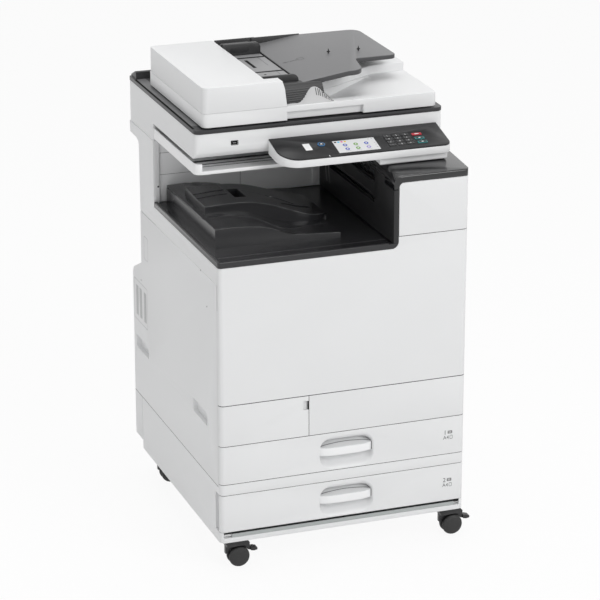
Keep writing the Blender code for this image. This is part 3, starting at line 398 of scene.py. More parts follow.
def softened(node, finish, edge=0.8, steps=2, wide=()):
    """A node's own solid with rounded edges: points merged, flat facets joined, then a bevel.

    wide holds (test, radius) pairs: test takes both ends of every edge, in mm, and picks the
    edges that get that larger radius.
    """
    mesh = frame["nodes"][node].data.copy()
    mesh.name = node + "_cover"
    grid = bmesh.new()
    grid.from_mesh(mesh)
    bmesh.ops.remove_doubles(grid, verts=grid.verts, dist=2e-6)
    bmesh.ops.dissolve_limit(
        grid, angle_limit=math.radians(0.6), verts=grid.verts, edges=grid.edges
    )
    grid.to_mesh(mesh)
    grid.free()
    mesh.shade_smooth()
    piece = finish_mesh(node + "_cover", mesh, finish, BODY_OF[node], [node])
    if wide:
        points = np.empty(len(mesh.vertices) * 3)
        mesh.vertices.foreach_get("co", points)
        points = (points.reshape(-1, 3) - MIDDLE) * 1000
        ends = np.empty(len(mesh.edges) * 2, int)
        mesh.edges.foreach_get("vertices", ends)
        a, b = points[ends.reshape(-1, 2)].transpose(1, 0, 2)
        biggest = max(radius for _, radius in wide)
        weight = np.zeros(len(a))
        for test, radius in wide:
            weight[test(a, b)] = radius / biggest
        mesh.attributes.new("bevel_weight_edge", "FLOAT", "EDGE").data.foreach_set("value", weight)
        large = piece.modifiers.new("large_edge", "BEVEL")
        large.width = biggest * 0.001
        large.segments = 5
        large.limit_method = "WEIGHT"
        large.harden_normals = True
    round_edges(piece, edge, steps)
    return piece


def level_edges(z, x=(-999, 999), y=(-999, 999), near=0.4):
    """Picks the edges that lie at the height z inside x and y."""

    def test(a, b):
        keep = (np.abs(a[:, 2] - z) < near) & (np.abs(b[:, 2] - z) < near)
        for ends in (a, b):
            keep &= (ends[:, 0] > x[0]) & (ends[:, 0] < x[1])
            keep &= (ends[:, 1] > y[0]) & (ends[:, 1] < y[1])
        return keep

    return test


def lettering(name, words, size, centre, place, finish, body):
    """Flat letters size mm tall: the outline of the words made a mesh, then laid by place."""
    curve = bpy.data.curves.new(name, "FONT")
    curve.body = words
    curve.size = size * 1.42
    curve.align_x = "CENTER"
    curve.resolution_u = 3
    holder = bpy.data.objects.new(name + "_outline", curve)
    scene.collection.objects.link(holder)
    graph = bpy.context.evaluated_depsgraph_get()
    mesh = bpy.data.meshes.new_from_object(holder.evaluated_get(graph))
    bpy.data.objects.remove(holder, do_unlink=True)
    points = np.empty(len(mesh.vertices) * 3)
    mesh.vertices.foreach_get("co", points)
    points = points.reshape(-1, 3)
    middle = (points.max(0) + points.min(0)) / 2
    u = centre[0] + points[:, 0] - middle[0]
    v = centre[1] + points[:, 1] - middle[1]
    mesh.vertices.foreach_set("co", at(place(u, v, np.full(len(u), 0.12))).ravel())
    mesh.update()
    mesh.name = name
    return finish_mesh(name, mesh, finish, body)


# --- Shared measures ------------------------------------------------------------------------
LEFT, RIGHT = box_mm("lower_drawer")[0][0], box_mm("lower_drawer")[1][0]
RIM_TOP = box_mm("exit_tray")[0][2] + 11.4
SILL_Z = box_mm("left_cover")[0][2] + 0.2
FEED_LOW, FEED_HIGH = box_mm("feed_cover")
LID_LOW, LID_HIGH = box_mm("platen_cover")
SEAM_Z = FEED_LOW[2] - 0.6
TABLE_Z = LID_HIGH[2]
TRAY_HIGH = box_mm("document_tray")[1]
SCAN_LOW, SCAN_HIGH = box_mm("scanner_body")


# --- Carried-over pieces ----------------------------------------------------------------------
def cover_pieces():
    """Each moulded cover from its own solid, with the edge radii that its mould gives it."""
    for node in (
        "bank_door left_cover rear_cover right_cover right_door bypass_tray "
        "waste_toner_door lower_right_panel scanner_body"
    ).split():
        softened(node, COVER_WHITE)
    for node, edge, steps in (
        ("bank_frame", 0.8, 2),
        ("lower_drawer", 0.7, 2),
        ("upper_drawer", 0.7, 2),
        ("left_upper_cover", 0.8, 2),
        ("front_cover", 1.6, 3),
        ("toner_cover", 2.2, 3),
    ):
        softened(node, COVER_WHITE, edge, steps)
    under_face = box_mm("panel_face")[0][2] - 18

    def panel_underside(a, b):
        below = (a[:, 2] < under_face) & (b[:, 2] < under_face)
        return below & (np.abs(a[:, 2] - b[:, 2]) < 12)

    softened("panel_body", COVER_WHITE, 1.0, wide=[(panel_underside, 4.5)])
    top = FEED_HIGH[2]
    softened(
        "feed_cover",
        COVER_WHITE,
        0.8,
        wide=[
            (level_edges(top, y=(-999, FEED_LOW[1] + 20)), 7.0),
            (level_edges(top, x=(-999, LEFT + 36)), 7.0),
            (level_edges(top, y=(FEED_HIGH[1] - 12, 999)), 5.0),
        ],
    )
    lid_top = SEAM_Z + 20
    softened(
        "platen_cover",
        COVER_WHITE,
        1.0,
        wide=[
            (level_edges(lid_top, x=(0, 999)), 4.5),
            (level_edges(SEAM_Z, x=(60, 999), y=(-999, LID_LOW[1] + 14)), 3.5),
            (level_edges(SEAM_Z, x=(LID_HIGH[0] - 16, 999)), 3.5),
        ],
    )
    for node, finish, edge, steps in (
        ("exit_back_wall", INNER_WHITE, 0.8, 2),
        ("shelf_tray", SHELF_WHITE, 0.8, 2),
        ("tower_inner_cover", WALL_BLACK, 0.5, 2),
        ("tower_top_cover", CAP_BLACK, 1.2, 3),
        ("scanner_top_frame", FRAME_BLACK, 1.0, 2),
        ("panel_face", PANEL_BLACK, 0.5, 2),
        ("toner_rack", TRAY_BLACK, 0.5, 2),
        ("scan_carriage", TRAY_BLACK, 0.5, 2),
        ("feed_roller", WHEEL_RUBBER, 0.3, 2),
    ):
        softened(node, finish, edge, steps)
    tray = softened("document_tray", TRAY_GREY, 1.6, 3)
    # Faces that don't face up take a darker grey: painted shade on the tray's sides and underside.
    two_tone(tray, TRAY_SIDE, lambda normal: normal[:, 2] < 0.6)
    for node in ("front_guide", "rear_guide"):
        top = box_mm(node)[1][2]
        softened(node, GUIDE_BLACK, 0.7, wide=[(level_edges(top), 2.5)])
    tones = {
        "key_stop": STOP_RED,
        "key_start_mono": START_TEAL,
        "key_start_colour": START_TEAL,
        "key_home": HOME_BLUE,
    }
    for node in sorted(frame["nodes"]):
        if node.startswith("key_"):
            softened(node, tones.get(node, KEY_DARK), 0.35, 3)
        elif node.startswith(("caster_fork", "brake_lever")):
            softened(node, CASTER_BLACK, 0.9, 3)
        elif node.startswith("caster_wheel"):
            softened(node, WHEEL_RUBBER, 0.4)
    for node, finish in (
        ("main_frame", STEEL),
        ("platen_glass", GLASS),
        ("touch_screen", SCREEN_WHITE),
    ):
        solid = frame["nodes"][node]
        solid.data.materials.clear()
        solid.data.materials.append(finish)


# --- Drawers ----------------------------------------------------------------------------------
DRAWER_TALL = {"lower_drawer": 88.0, "upper_drawer": 90.0}
GRIP_X = (LEFT + RIGHT) / 2 + 6.5
GRIP_HALF = 64.5


def grip_middle(node):
    """Height of the middle of a drawer's grip."""
    return box_mm(node)[1][2] - DRAWER_TALL[node] / 2 - 3.5


def drawer_dish(node):
    """Soft-edged dish behind a drawer's grip.

    Ring k is a rounded rectangle drawn in by d above and below and by 0.2 d at its ends, at a
    depth that climbs slowly at the lip, steeply down the wall and flat on the floor.
    """
    mid, tall = grip_middle(node), DRAWER_TALL[node] / 2 - 5
    wall = [(0, 0.7), (1.2, 1.0), (3, 1.9), (5.4, 3.8), (8, 6.8), (10.4, 10.6), (12.6, 15)]
    wall += [(15, 19.4), (18, 23.2), (22, 25.8), (29, 27.2)]
    rings = []
    for inset, depth in wall:
        sides = (GRIP_X - GRIP_HALF, GRIP_X + GRIP_HALF, mid - tall, mid + tall)
        plan = rounded_plan(*sides, 30.0, 10, kx=0.2 * inset, ky=inset)
        rings.append(np.stack([plan[:, 0], np.full(len(plan), depth), plan[:, 1]], -1))
    floor = rings[-1].copy()
    floor[:, 1:] = (27.5, mid)
    rings.append(floor)
    grid = np.array(rings)[:, ::-1]
    grids = [(grid, False, True)]
    surface(node + "_dish", grids, COVER_WHITE, node, closed=False, sharp=60)


def drawer_bar(node):
    """Crowned grip bar with a lens-shaped lid that rises from its top edge into the dish.

    At t from -1 to 1 along the bar its front stands at 0.1 + 7.6 |t|^3.4 behind the cover, and
    its lid ends 14 sqrt(1 - t^2) above its top edge.
    """
    mid = grip_middle(node)
    t = np.sin(np.linspace(-math.pi / 2, math.pi / 2, 61))
    x = GRIP_X + t * 61.2
    front = 0.1 + 7.6 * np.abs(t) ** 3.4
    rise = 14.0 * np.sqrt(np.clip(1 - t**2, 0, 1))
    back = np.full_like(x, 26.5)
    flat = np.zeros_like(x)
    loop = [
        (front + 3.0, flat - 7.9),
        (front + 1.2, flat - 7.5),
        (front + 0.3, flat - 6.4),
        (front, flat - 5.0),
        (front, flat + 9.4),
        (front + 0.35, flat + 10.9),
        (front + 1.3, flat + 12.1),
        (front + 3.0, flat + 12.9 + 0.02 * rise),
        (front + (back - front) * 0.4, flat + 13.2 + 0.34 * rise),
        (front + (back - front) * 0.7, flat + 13.2 + 0.68 * rise),
        (back, flat + 13.2 + rise),
        (back + 1.1, flat + 12.6 + rise),
        (back + 1.1, flat - 7.9),
    ]
    grid = np.array([[x, y, mid + z] for y, z in loop]).transpose(2, 0, 1)
    piece = surface(node + "_grip_bar", tube(grid), PAINTED_LIGHT_WHITE, node, sharp=50)
    # Brighter bar and darker upward-facing lid: painted light on the bar, painted shade on the
    # lid.
    two_tone(piece, LID_SHADE_WHITE, lambda normal: normal[:, 2] > 0.3)
    # Thin dark strips along the crease at the lid's top and at the bar's right end: painted shade
    # in those creases.
    y = front + 1.4 + 11.4 / 14.0 * rise
    z = mid + 13.7 + 0.87 * (y - front) / (back - front) * rise
    line = np.stack([x, y, z], -1)
    edge = np.stack([line + (0, 0.7, 0.5), line - (0, 0.7, 0.5)]) + np.array([0, -0.25, 0.4])
    grids = [(edge, False, False)]
    right_end = [(GRIP_X + 62.0, mid + z) for z in (-6.5, 2.0, 13.0)]
    grids += ribbon(right_end, 1.3, 0.3, facing_front(7.0))
    surface(node + "_grip_crease_shade", grids, MARK_GREY, node, closed=False)


def two_tone(piece, second, test):
    """Gives the faces whose normal passes the test a second finish."""
    mesh = piece.data
    mesh.materials.append(second)
    normals = np.empty(len(mesh.polygons) * 3)
    mesh.polygons.foreach_get("normal", normals)
    picked = test(normals.reshape(-1, 3)).astype(np.int32)
    mesh.polygons.foreach_set("material_index", picked)


def drawer_marks(node, digit):
    """Digit, paper sign and sheet size near a drawer's right end."""
    top = box_mm(node)[1][2]
    x, z = RIGHT - 44.5, top - 42.5
    front = facing_front(0.0)
    name = node + "_digit"
    lettering(name, digit, 10.5, (x - 3.4, z + 5.2), front, PRINT_GREY, node)
    name = node + "_sheet_size"
    lettering(name, "A4", 8.6, (x - 1.2, z - 7.2), front, PRINT_GREY, node)
    plan = rounded_plan(x + 3, x + 14.0, z + 1.6, z + 8.8, 1.2, 3)
    sign = pillow(plan, 0, 0.15, 0.1, front)
    surface(node + "_paper_sign", sign, PRINT_GREY, node)
    lines = []
    for k in range(3):
        v = z + 3.0 + 1.9 * k
        lines += slab(x + 4.6, x + 12.2, v, v + 0.8, 0.3, 2, 0, 0.22, 0.05, front)
    surface(node + "_paper_sign_lines", lines, CARD_WHITE, node)
    sheet = outlined(x + 8.6, x + 14.4, z - 11.2, z - 3.0, 0.8, 3, 0.9, 0.12, front)
    surface(node + "_sheet_sign", sheet, PRINT_GREY, node, closed=False)


# --- Base unit --------------------------------------------------------------------------------
def stabiliser():
    """Painted bar along the foot of the base, with its small end bracket."""
    low, _ = box_mm("bank_frame")
    z = low[2] + 10.2
    front = facing_front(12.0)
    bar = slab(LEFT + 27.2, RIGHT - 22.2, z, z + 9.6, 1.2, 3, 0, 9.6, 1.0, front)
    surface("stabiliser_bar", bar, BAR_GREY)
    tab = slab(RIGHT - 22, RIGHT - 11, z + 6, z + 14, 1.0, 3, 0, 7.0, 0.8, front)
    surface("stabiliser_bracket", tab, SCREW_DARK)


# --- Left and right sides ---------------------------------------------------------------------
SIDE_VENTS = ((619.0, 590.5, 556.0), 415.0, 488.0)  # middles of the columns, low, high
BACK_VENTS = ((105.0, 130.0, 155.0, 180.0), 335.0, 465.0)
VENT_HALF, VENT_TALL, VENT_PITCH = 9.5, 2.2, 5.0


def vent_slots(middles, low, high, place):
    """Columns of short rounded slots, one pillow each."""
    out = []
    for middle in middles:
        for v in np.arange(low, high, VENT_PITCH):
            sides = (middle - VENT_HALF, middle + VENT_HALF, v, v + VENT_TALL)
            out += slab(*sides, 1.0, 2, 0, 0.2, 0.1, place, 1)
    return out


def side_details():
    """Vent slots, moulded outlines and screws of the side covers."""
    left, right = facing_left(LEFT), facing_right(RIGHT)
    back = facing_back(box_mm("rear_cover")[1][1])
    surface("left_vent_slots", vent_slots(*SIDE_VENTS, left), VENT_GREY)
    outline = outlined(538, 645, 401, 502, 5, 4, 0.8, 0.08, left)
    surface("left_vent_outline", outline, VENT_GREY, closed=False)
    outline = outlined(527, 556, 575, 631, 3, 4, 0.7, 0.08, left)
    surface("left_blank_outline", outline, VENT_GREY, closed=False)
    spots = [(124, 686), (82, 615), (585, 512)]
    surface("left_screws", studs(spots, 1.9, 0.3, left, 14), MARK_GREY)
    seam = ribbon([(15.5, SILL_Z), (300, SILL_Z), (652, SILL_Z)], 1.5, 0.08, left)
    surface("left_foot_seam", seam, MARK_GREY, closed=False)
    surface("right_vent_slots", vent_slots(*SIDE_VENTS, right), VENT_GREY)
    pull = slab(200, 300, 640, 668, 10, 5, 0, 0.5, 0.4, right)
    surface("right_door_pull", pull, MARK_GREY, "right_door")
    surface("rear_vent_slots", vent_slots(*BACK_VENTS, back), SLOT_DARK)
    spots = [(x, z) for x in (-255, 0, 240) for z in (228, 500)]
    surface("rear_screws", studs(spots, 3.2, 0.6, back, 16), SCREW_DARK)


CORNER = 12.0  # radius of the front panels' upright edges
SHADE_SHEET = 4.0  # depth of a sheet of painted shade
PLAY = 0.05  # room left between a painted-shade sheet and its neighbours
FOOT_JOINT = 1.35  # height of the joint above and below the drawers


def seam_shade_sheet(name, low, high, x0=LEFT, left=True, depth=1.2, body="machine"):
    """Dark strip of painted shade behind an open joint of the front, round its corners.

    Its path is the plan of the front panels drawn in by depth: two quarter circles joined by
    a straight; its section is an upright rectangle.
    """
    turn = np.linspace(math.pi, 1.5 * math.pi, 7)
    arc = np.stack([np.cos(turn), np.sin(turn)], -1)
    path, inward = [[(x0, depth)]], [[(0.0, 1.0)]]
    if left:
        path = [[(x0 + depth, CORNER + 1)], (x0 + CORNER, CORNER) + (CORNER - depth) * arc]
        inward = [[(1.0, 0.0)], -arc]
    arc = arc[::-1] * (-1, 1)
    path += [(RIGHT - CORNER, CORNER) + (CORNER - depth) * arc, [(RIGHT - depth, CORNER + 1)]]
    inward += [-arc, [(-1.0, 0.0)]]
    path, inward = np.concatenate(path), np.concatenate(inward)
    across = np.array([0, 0, SHADE_SHEET, SHADE_SHEET])
    up = np.array([low, high, high, low])
    surface(name, tube(carried(path, inward, across, up)), SEAM_SHADE, body)


def seam_shade_sheets():
    """Dark sheets of painted shade behind the level joints of the front and behind the joint of
    the two doors, and a pale sheet of painted light in the left side's joint.
    """
    pairs = (
        ("cover", box_mm("lower_right_panel")[1][2], box_mm("front_cover")[0][2], True),
        ("doors", box_mm("upper_drawer")[1][2], box_mm("lower_right_panel")[0][2], True),
        ("toner", box_mm("front_cover")[1][2], box_mm("toner_cover")[0][2], False),
    )
    for name, low, high, left in pairs:
        start = LEFT if left else box_mm("toner_cover")[0][0] + 1
        depth = 0.5 if name == "cover" else 0.9
        body = "front_cover" if name == "toner" else "machine"
        seam_shade_sheet("seam_shade_sheet_" + name, low + PLAY, high - PLAY, start, left, depth, body)
    for name, node in (("upper", "upper_drawer"), ("lower", "lower_drawer")):
        foot = box_mm(node)[0][2]
        seam_shade_sheet("seam_shade_sheet_" + name + "_foot", foot - FOOT_JOINT, foot - PLAY)
    high = box_mm("lower_drawer")[1][2]
    seam_shade_sheet("seam_shade_sheet_lower_top", high + PLAY, high + FOOT_JOINT)
    x0, x1 = box_mm("waste_toner_door")[1][0], box_mm("lower_right_panel")[0][0]
    low, high = (corner[2] for corner in box_mm("lower_right_panel"))
    sides = (x0 + PLAY, x1 - PLAY, low, high)
    strip = slab(*sides, 0.3, 2, 0, SHADE_SHEET, 0.2, facing_front(6.4))
    surface("seam_shade_sheet_upright", strip, SEAM_SHADE)
    # A pale sheet of painted light fills the joint between the left covers, so it reads lit
    # instead of shaded.
    low, high = box_mm("left_cover")[1][2], box_mm("left_upper_cover")[0][2]
    lit_sheet = facing_left(LEFT + SHADE_SHEET)
    strip = slab(15.0, 460, low + 0.04, high - 0.04, 0.3, 2, 0, 3.3, 0.2, lit_sheet)
    surface("left_seam_painted_light", strip, PAINTED_LIGHT_WHITE)


# --- Output bay -------------------------------------------------------------------------------
def smooth(t):
    """Smoothstep: 3 t^2 - 2 t^3 between 0 and 1."""
    t = np.clip(t, 0, 1)
    return t * t * (3 - 2 * t)


TRAY_FRONT, TRAY_BACK = 106.0, 461.0
LEVEL_X0 = LEFT + 29.0
LEVEL_X1 = RIGHT - 167.0 - 98.0
LEVEL_Z = RIM_TOP + 41.0
CURVE_F = np.array([0, 0.15, 0.32, 0.43, 0.53, 0.61, 0.7, 0.85, 1.0])
CURVE_Z = np.array([0, 1, -3, -9, -20, -28, -32, -35, -38.0])
LEDGE_F = np.array([0, 0.07, 0.19, 0.31, 0.4, 0.53, 0.62, 0.72, 0.91, 1.0])
LEDGE_Y = np.array([216, 218, 225, 216, 203, 172, 174, 186, 206, 212.0])
UPPER_X = np.array([-252, -193, -153, -113, -66, -34, 0, 18, 30, 42.0])
UPPER_FRONT = np.array([228.4, 228.4, 228.2, 221, 208, 201, 203, 211, 222, 236.0])
UPPER_BACK = 375.6
UPPER_F = np.array([0, 0.21, 0.38, 0.52, 0.66, 0.8, 0.95, 1.0])
UPPER_Z = np.array([14, 16, 14, 7, -5, -18, -28, -33.0])
LEDGES = (184.0, 200.0, 216.0)


def wave(f, spots, heights):
    """Smooth curve through the given heights: a cubic Hermite with slopes from the neighbours."""
    slope = np.gradient(heights, spots)
    k = np.clip(np.searchsorted(spots, f, side="right") - 1, 0, len(spots) - 2)
    span = spots[k + 1] - spots[k]
    t = np.clip((f - spots[k]) / span, 0, 1)
    a, b = heights[k], heights[k + 1]
    da, db = slope[k] * span, slope[k + 1] * span
    return (
        (2 * t**3 - 3 * t**2 + 1) * a
        + (t**3 - 2 * t**2 + t) * da
        + (3 * t**2 - 2 * t**3) * b
        + (t**3 - t**2) * db
    )


def share(x):
    """Share of the lower terrace's width at x."""
    return (x - LEVEL_X0) / (LEVEL_X1 - LEVEL_X0)


def ledge_shift(x):
    """How far the ledges' curve stands behind its middle at x."""
    return wave(share(x), LEDGE_F, LEDGE_Y) - 216.0


def lower_bent(x, y):
    """Rows between 150 and 230 follow the ledges' curve; the front and the back stay straight."""
    return y + ledge_shift(x) * smooth((y - TRAY_FRONT) / 44.0) * smooth((330.0 - y) / 90.0)


def lower_level(x, y):
    """Lower terrace: a long wave falling to the right, with a swell at the back left.

    Its raised front steps down to the upper terrace in three narrow ledges.
    """
    f = share(x)
    z = LEVEL_Z + 1.0 + wave(f, CURVE_F, CURVE_Z)
    z += 6.5 * smooth((y - 380) / 70) * np.exp(-(((f - 0.24) / 0.12) ** 2))
    for edge in LEDGES:
        z -= 1.7 * smooth((y - ledge_shift(x) - edge) / 1.2)
    z -= 2.4 * smooth((y - 398 - 14 * f) / 1.4) * smooth((0.62 - f) / 0.1)
    return z


def upper_bent(x, y):
    """Rows 0 to 1 lie between the upper terrace's front and back curves."""
    front = wave(x, UPPER_X, UPPER_FRONT)
    return front + (UPPER_BACK - front) * y


def upper_level(x, y):
    """Upper terrace: the wave again, 14 higher, with a finger well, a leaf slot and ribs.

    The leaf's half width is 8.5 sin(pi s) at the share s of its length; each wall is a
    smoothstep.
    """
    x0, x1 = LEVEL_X0 + 17, LEVEL_X1 + 12
    f = (x - x0) / (x1 - x0)
    z = LEVEL_Z + 1.0 + wave(f, UPPER_F, UPPER_Z)
    for edge in (292.0, 318.0):
        z += 1.4 * smooth((y - edge - 0.08 * (x - x0)) / 1.4) * smooth((0.27 - f) / 0.01)
    well = smooth((x - LEVEL_X0 - 102) / 1.5) * smooth((LEVEL_X0 + 128 - x) / 1.5)
    well *= smooth((y - 270.5) / 1.5) * smooth((334.5 - y) / 1.5)
    z -= 40 * well
    along = np.clip((x + 84) / 64, 0, 1)
    half = 8.5 * np.clip(np.sin(math.pi * along), 0.01, 1)
    leaf = np.abs(y - 300 + (x + 84) * 0.42) / half
    z -= 9 * smooth((1.1 - leaf) / 0.25)
    rib = np.abs(y - 258 - (x + 20) * 0.1)
    return z + 1.6 * smooth((2.2 - rib) / 1.2) * smooth((x + 66) / 12) * smooth((14 - x) / 10)


def bead(points, radius=0.85):
    """Thin closed round bead along a path: a ring of six points square to the path's plan."""
    points = np.asarray(points, float)
    step = np.gradient(points, axis=0)
    step /= np.linalg.norm(step, axis=1, keepdims=True)
    side = np.stack([step[:, 1], -step[:, 0], np.zeros(len(step))], -1)
    side /= np.linalg.norm(side, axis=1, keepdims=True)
    rise = np.cross(side, step)
    turn = np.linspace(0, 2 * math.pi, 7)[:-1]
    rings = (
        points[:, None, :]
        + radius * np.cos(turn)[None, :, None] * side[:, None, :]
        + radius * np.sin(turn)[None, :, None] * rise[:, None, :]
    )
    return tube(rings)


def edge_highlight_strands():
    """Thin lighter strands along the terraces' front and left edges and along the ledges: painted
    highlights on those edges.
    """

    def on(level, x, y, down, behind=0.0):
        x, y = np.broadcast_arrays(x, y)
        return np.stack([x, y, level(x, y - behind) - down], -1)

    x = np.linspace(LEVEL_X0 + 0.2, LEVEL_X1, 90)
    grids = bead(on(lower_level, x, TRAY_FRONT + 0.1, 0.5))
    y = np.linspace(TRAY_FRONT + 0.4, TRAY_BACK - 2, 60)
    grids += bead(on(lower_level, LEVEL_X0 + 0.1, y, 0.5))
    x = np.linspace(LEVEL_X0 + 18, LEVEL_X1 + 2, 110)
    grids += bead(on(upper_level, x, wave(x, UPPER_X, UPPER_FRONT) + 0.2, 0.5))
    grids += bead(on(upper_level, LEVEL_X0 + 17.2, np.linspace(229, 374, 40), 0.5))
    surface("exit_tray_highlight_strands", grids, EDGE_HIGHLIGHT_BLACK, sharp=60)
    x = np.linspace(LEVEL_X0 + 18, LEVEL_X1 - 4, 100)
    grids = []
    for edge in LEDGES:
        grids += bead(on(lower_level, x, edge + ledge_shift(x), 0.2, 0.8), 0.6)
    x = np.linspace(LEVEL_X0 + 18, LEVEL_X0 + 120, 50)
    grids += bead(on(lower_level, x, 398 + 14 * share(x), 0.2, 0.6), 0.6)
    surface("exit_tray_ledge_highlight_strands", grids, EDGE_HIGHLIGHT_BLACK, sharp=60)


def exit_tray_pieces():
    """The two waved terraces of the output tray over its flat base and raised rim."""
    softened("exit_tray", TRAY_BLACK, 1.2, 3)
    xs = np.linspace(LEVEL_X0 - 0.6, LEVEL_X1 + 0.6, 200)
    near = [np.linspace(edge - 0.6, edge + 1.8, 7) for edge in LEDGES]
    ys = [np.linspace(TRAY_FRONT - 0.6, 181, 16), np.linspace(222, 390, 30)]
    ys += near + [np.linspace(392, 420, 40), np.linspace(422, TRAY_BACK + 0.4, 20)]
    low = RIM_TOP - 2.6
    levels = relief(xs, np.sort(np.concatenate(ys)), lower_level, low, lower_bent)
    piece = surface("exit_tray_lower_level", levels, TRAY_BLACK, sharp=38)
    round_edges(piece, 2.2, 4, 60)
    right = LEVEL_X1 + 4
    xs = np.append(np.linspace(LEVEL_X0 + 16.4, right, 210), [right + 3, right + 6, right + 9])
    levels = relief(xs, np.linspace(0, 1, 150), upper_level, RIM_TOP + 1, upper_bent)
    piece = surface("exit_tray_upper_level", levels, TRAY_BLACK, sharp=38)
    round_edges(piece, 1.8, 4, 60)
    edge_highlight_strands()
    # A lighter grey line along the front of the tray: painted highlight of the groove there.
    path = [(LEFT + 12, 43), (-60, 43), (60, 43.5), (112, 44)]
    line = ribbon(path, 1.1, 0.1, lying(RIM_TOP - 2.4))
    surface("exit_tray_front_painted_highlight", line, MARK_GREY, closed=False)


def exit_tray_rim():
    """Raised rim of the output tray: a rounded bead carried round its left and front edges."""
    low, high = box_mm("exit_tray")
    x0, y0, z = low[0] + 0.3, 0.9, RIM_TOP
    r = 9.0
    turn = np.linspace(math.pi, 1.5 * math.pi, 9)
    arc = np.stack([np.cos(turn), np.sin(turn)], -1)
    corner = (x0 + r, y0 + r) + r * arc
    path = np.concatenate([[(x0, high[1] - 3)], corner, [(high[0] - 22, y0)]])
    inward = np.concatenate([[(1.0, 0.0)], -arc, [(0.0, 1.0)]])
    across = np.array([0, 0.3, 1.2, 2.4, 5.8, 6.8, 7.2, 7.2, 0])
    up = np.array([-1.5, 0.2, 0.9, 1.0, 1.0, 0.6, -0.4, -2.0, -2.0])
    surface("exit_tray_rim", tube(carried(path, inward, across, z + up)), RIM_BLACK)


def bay_details():
    """Joint lines and a screw on the back wall, and the slots, guides and rollers of the tower."""
    wall = box_mm("exit_back_wall")[0]
    front = facing_front(wall[1])
    lines = []
    for z in (803.0, 855.0):
        lines += ribbon([(LEFT + 16, z), (0, z), (108, z)], 0.9, 0.1, front)
    lines += ribbon([(-82, 755), (-82, 775), (-82, 794)], 0.9, 0.1, front)
    surface("back_wall_lines", lines, MARK_GREY, closed=False)
    low, high = box_mm("left_upper_cover")
    column = facing_front(box_mm("tower_top_cover")[1][1] + 0.5)
    sides = (low[0] + 2.6, low[0] + 14.2, RIM_TOP + 0.6, high[2] - 1)
    edge = slab(*sides, 0.5, 2, 0, 0.5, 0.3, column)
    surface("back_wall_left_edge", edge, INNER_WHITE)
    screw = studs([(LEFT + 11, 776)], 2.6, 1.0, column, 14)
    surface("back_wall_screw", screw, SCREW_DARK)
    strip = slab(96, 110, 745, 884, 2, 3, 0, 1.6, 0.8, front)
    surface("back_wall_strip", strip, COVER_WHITE)
    side = box_mm("tower_inner_cover")[0][0]
    left = facing_left(side)
    frame_lines = outlined(119, 432, 846, 884, 5, 4, 1.6, 0.5, left)
    surface("exit_slot_frame", frame_lines, CAP_BLACK, closed=False)
    guides = []
    t = np.linspace(0, 1, 24)
    for y in (401.0, 421.0):
        path = np.stack([y + 9 * np.sin(t * math.pi), 762 + t * 74], -1)
        guides += ribbon(path, 6.0, 0.4, left)
    surface("exit_slot_guides", guides, MARK_GREY, closed=False)
    dashes = []
    for y in np.arange(140, 400, 13.0):
        dashes += slab(y, y + 8, 817, 819.4, 0.8, 2, 0, 0.6, 0.3, left)
    surface("exit_slot_ribs", dashes, RIM_BLACK)
    rollers = []
    turn = np.linspace(0, 2 * math.pi, 20, endpoint=False)
    x, z = side + 3.2 + 5.0 * np.sin(turn), 866 + 5.5 * np.cos(turn)
    for y in (170.0, 215.0, 290.0, 335.0):
        rings = [np.stack([x, np.full(20, end), z], -1) for end in (y, y + 14.0)]
        rollers += tube(np.array(rings))
    surface("exit_rollers", rollers, KEY_DARK)


# --- Control panel ----------------------------------------------------------------------------
SLOPE = math.atan(0.2525)
PANEL_BACK, PANEL_TOP = SCAN_LOW[1], SCAN_LOW[2] + 73.0
PANEL_RIGHT = box_mm("panel_body")[1][0]
STOP_V, MONO_V, COLOUR_V, HOME_V = 42.7, 59.9, 77.3, 44.7  # keys' middles down the face
PAD_X, PAD_V = PANEL_RIGHT - 133.5, 40.0  # middle of the keypad's first key
PAD_STEP_X, PAD_STEP_V = 21.3, 12.4


def on_face(middle_v, lift=0.0):
    """Places (x, up, height) on the panel's face, up from the line middle_v below its back."""
    c, s = math.cos(SLOPE), math.sin(SLOPE)

    def place(u, w, h):
        v = middle_v - w
        h = h + lift
        return np.stack([u, PANEL_BACK - v * c - h * s, PANEL_TOP - v * s + h * c], -1)

    return place


